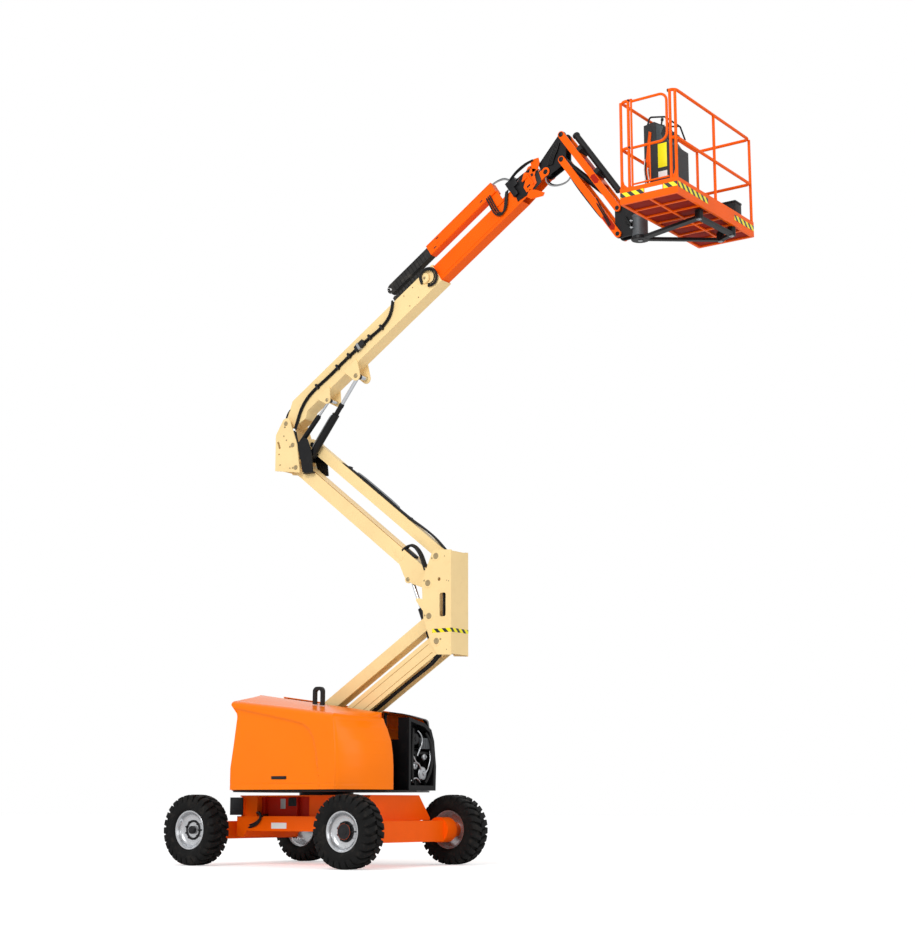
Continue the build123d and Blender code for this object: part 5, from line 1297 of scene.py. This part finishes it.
for i, finish in enumerate((white_vinyl, hose_rubber, orange_enamel, white_vinyl)):
    x = 4.838 + 0.014 * i
    hose("console_lead_" + str(i), ((x, -0.428, 7.80 - 0.04 * i), (x - 0.004, -0.445, 7.70),
                                    (x + 0.006, -0.452, 7.60), (x + 0.022, -0.440, 7.50),
                                    (x + 0.020, -0.420, 7.42)), 0.006, "platform", finish)
for name, x in (("484", 4.85), ("505", 5.06)):
    boxes("console_feet_" + name, "platform", black_enamel,
          [(x - 0.016, x + 0.016, y, y + 0.03, 7.160, 7.405) for y in (-0.39, -0.12)], edge=0.003)
boxes("tool_locker", "platform", satin_plastic, [(5.20, 5.38, 0.70, 0.86, 7.161, 7.52),
                                                 (5.195, 5.385, 0.695, 0.865, 7.52, 7.545)], edge=0.008)

# ================================================================= floor, light and camera
# A plain matt white studio floor, two soft lamps in a white surround, and a camera low down in
# front of the machine's near side.
floor_half = 80
floor_glow, sky_strength = 0.42, 0.62
floor_mesh = bpy.data.meshes.new("floor")
corners = [(x * floor_half, y * floor_half, 0) for x, y in ((-1, -1), (1, -1), (1, 1), (-1, 1))]
floor_mesh.from_pydata(corners, [], [(0, 1, 2, 3)])
floor = bpy.data.objects.new("floor", floor_mesh)
scene.collection.objects.link(floor)
floor_white = bpy.data.materials.new("matt_studio_floor")
floor_white.use_nodes = True
tree = floor_white.node_tree
shader = tree.nodes["Principled BSDF"]
shader.inputs["Base Color"].default_value = linear("#FAFAFA")
shader.inputs["Roughness"].default_value = 0.9
shader.inputs["Specular IOR Level"].default_value = 0.1
# The floor glows a little for the camera only, so that it runs into the white behind it.
seen = add(tree, "ShaderNodeLightPath").outputs["Is Camera Ray"]
glow = add(tree, "ShaderNodeMath", {0: seen, 1: floor_glow}, operation="MULTIPLY").outputs[0]
glowing = add(tree, "ShaderNodeEmission", Strength=glow).outputs[0]
total = add(tree, "ShaderNodeAddShader", {0: shader.outputs[0], 1: glowing}).outputs[0]
tree.links.new(total, tree.nodes["Material Output"].inputs["Surface"])
floor_mesh.materials.append(floor_white)
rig.stage(floor)

world = bpy.data.worlds.new("studio")
world.use_nodes = True
sky = world.node_tree
lighting = sky.nodes["Background"]
lighting.inputs["Color"].default_value = (1.0, 1.0, 1.0, 1.0)
lighting.inputs["Strength"].default_value = sky_strength
backdrop = add(sky, "ShaderNodeBackground", Color=(1.0, 1.0, 1.0, 1.0), Strength=1.0)
rays = add(sky, "ShaderNodeLightPath").outputs
shown = add(sky, "ShaderNodeMath", {0: rays["Is Camera Ray"], 1: rays["Is Glossy Ray"]},
            operation="MAXIMUM")
through = add(sky, "ShaderNodeMath", {0: shown.outputs[0], 1: rays["Is Transmission Ray"]},
              operation="MAXIMUM")
blend = add(sky, "ShaderNodeMixShader", {0: through.outputs[0], 1: lighting.outputs[0],
                                         2: backdrop.outputs[0]})
sky.links.new(blend.outputs[0], sky.nodes["World Output"].inputs["Surface"])
scene.world = world


def aimed(piece, place, look):
    """Puts a light or a camera at a place, looking along a direction."""
    scene.collection.objects.link(piece)
    piece.location = place
    piece.rotation_euler = Vector(look).to_track_quat("-Z", "Y").to_euler()


lit_point = Vector((1.5, 0.0, 4.0))
lamp_size = 8.0
for name, place, power in (("key", (4.0, -17.0, 13.0), 1700), ("fill", (19.0, -4.0, 7.0), 500)):
    lamp = bpy.data.lights.new(name, "AREA")
    lamp.size = lamp_size
    lamp.energy = power
    aimed(bpy.data.objects.new(name, lamp), place, lit_point - Vector(place))

lens = bpy.data.cameras.new("camera")
lens.sensor_fit = "HORIZONTAL"
lens.sensor_width = 36.0
lens.lens = 68.05078
lens.clip_end = 300
scene.camera = bpy.data.objects.new("camera", lens)
turn_left, tilt_up = math.radians(35.4193), math.radians(10.9633)
aimed(scene.camera, (13.75032, -16.575, 0.71965), (-math.sin(turn_left) * math.cos(tilt_up),
                                                   math.cos(turn_left) * math.cos(tilt_up),
                                                   math.sin(tilt_up)))

scene.view_settings.view_transform = "Standard"
write_size("shown")
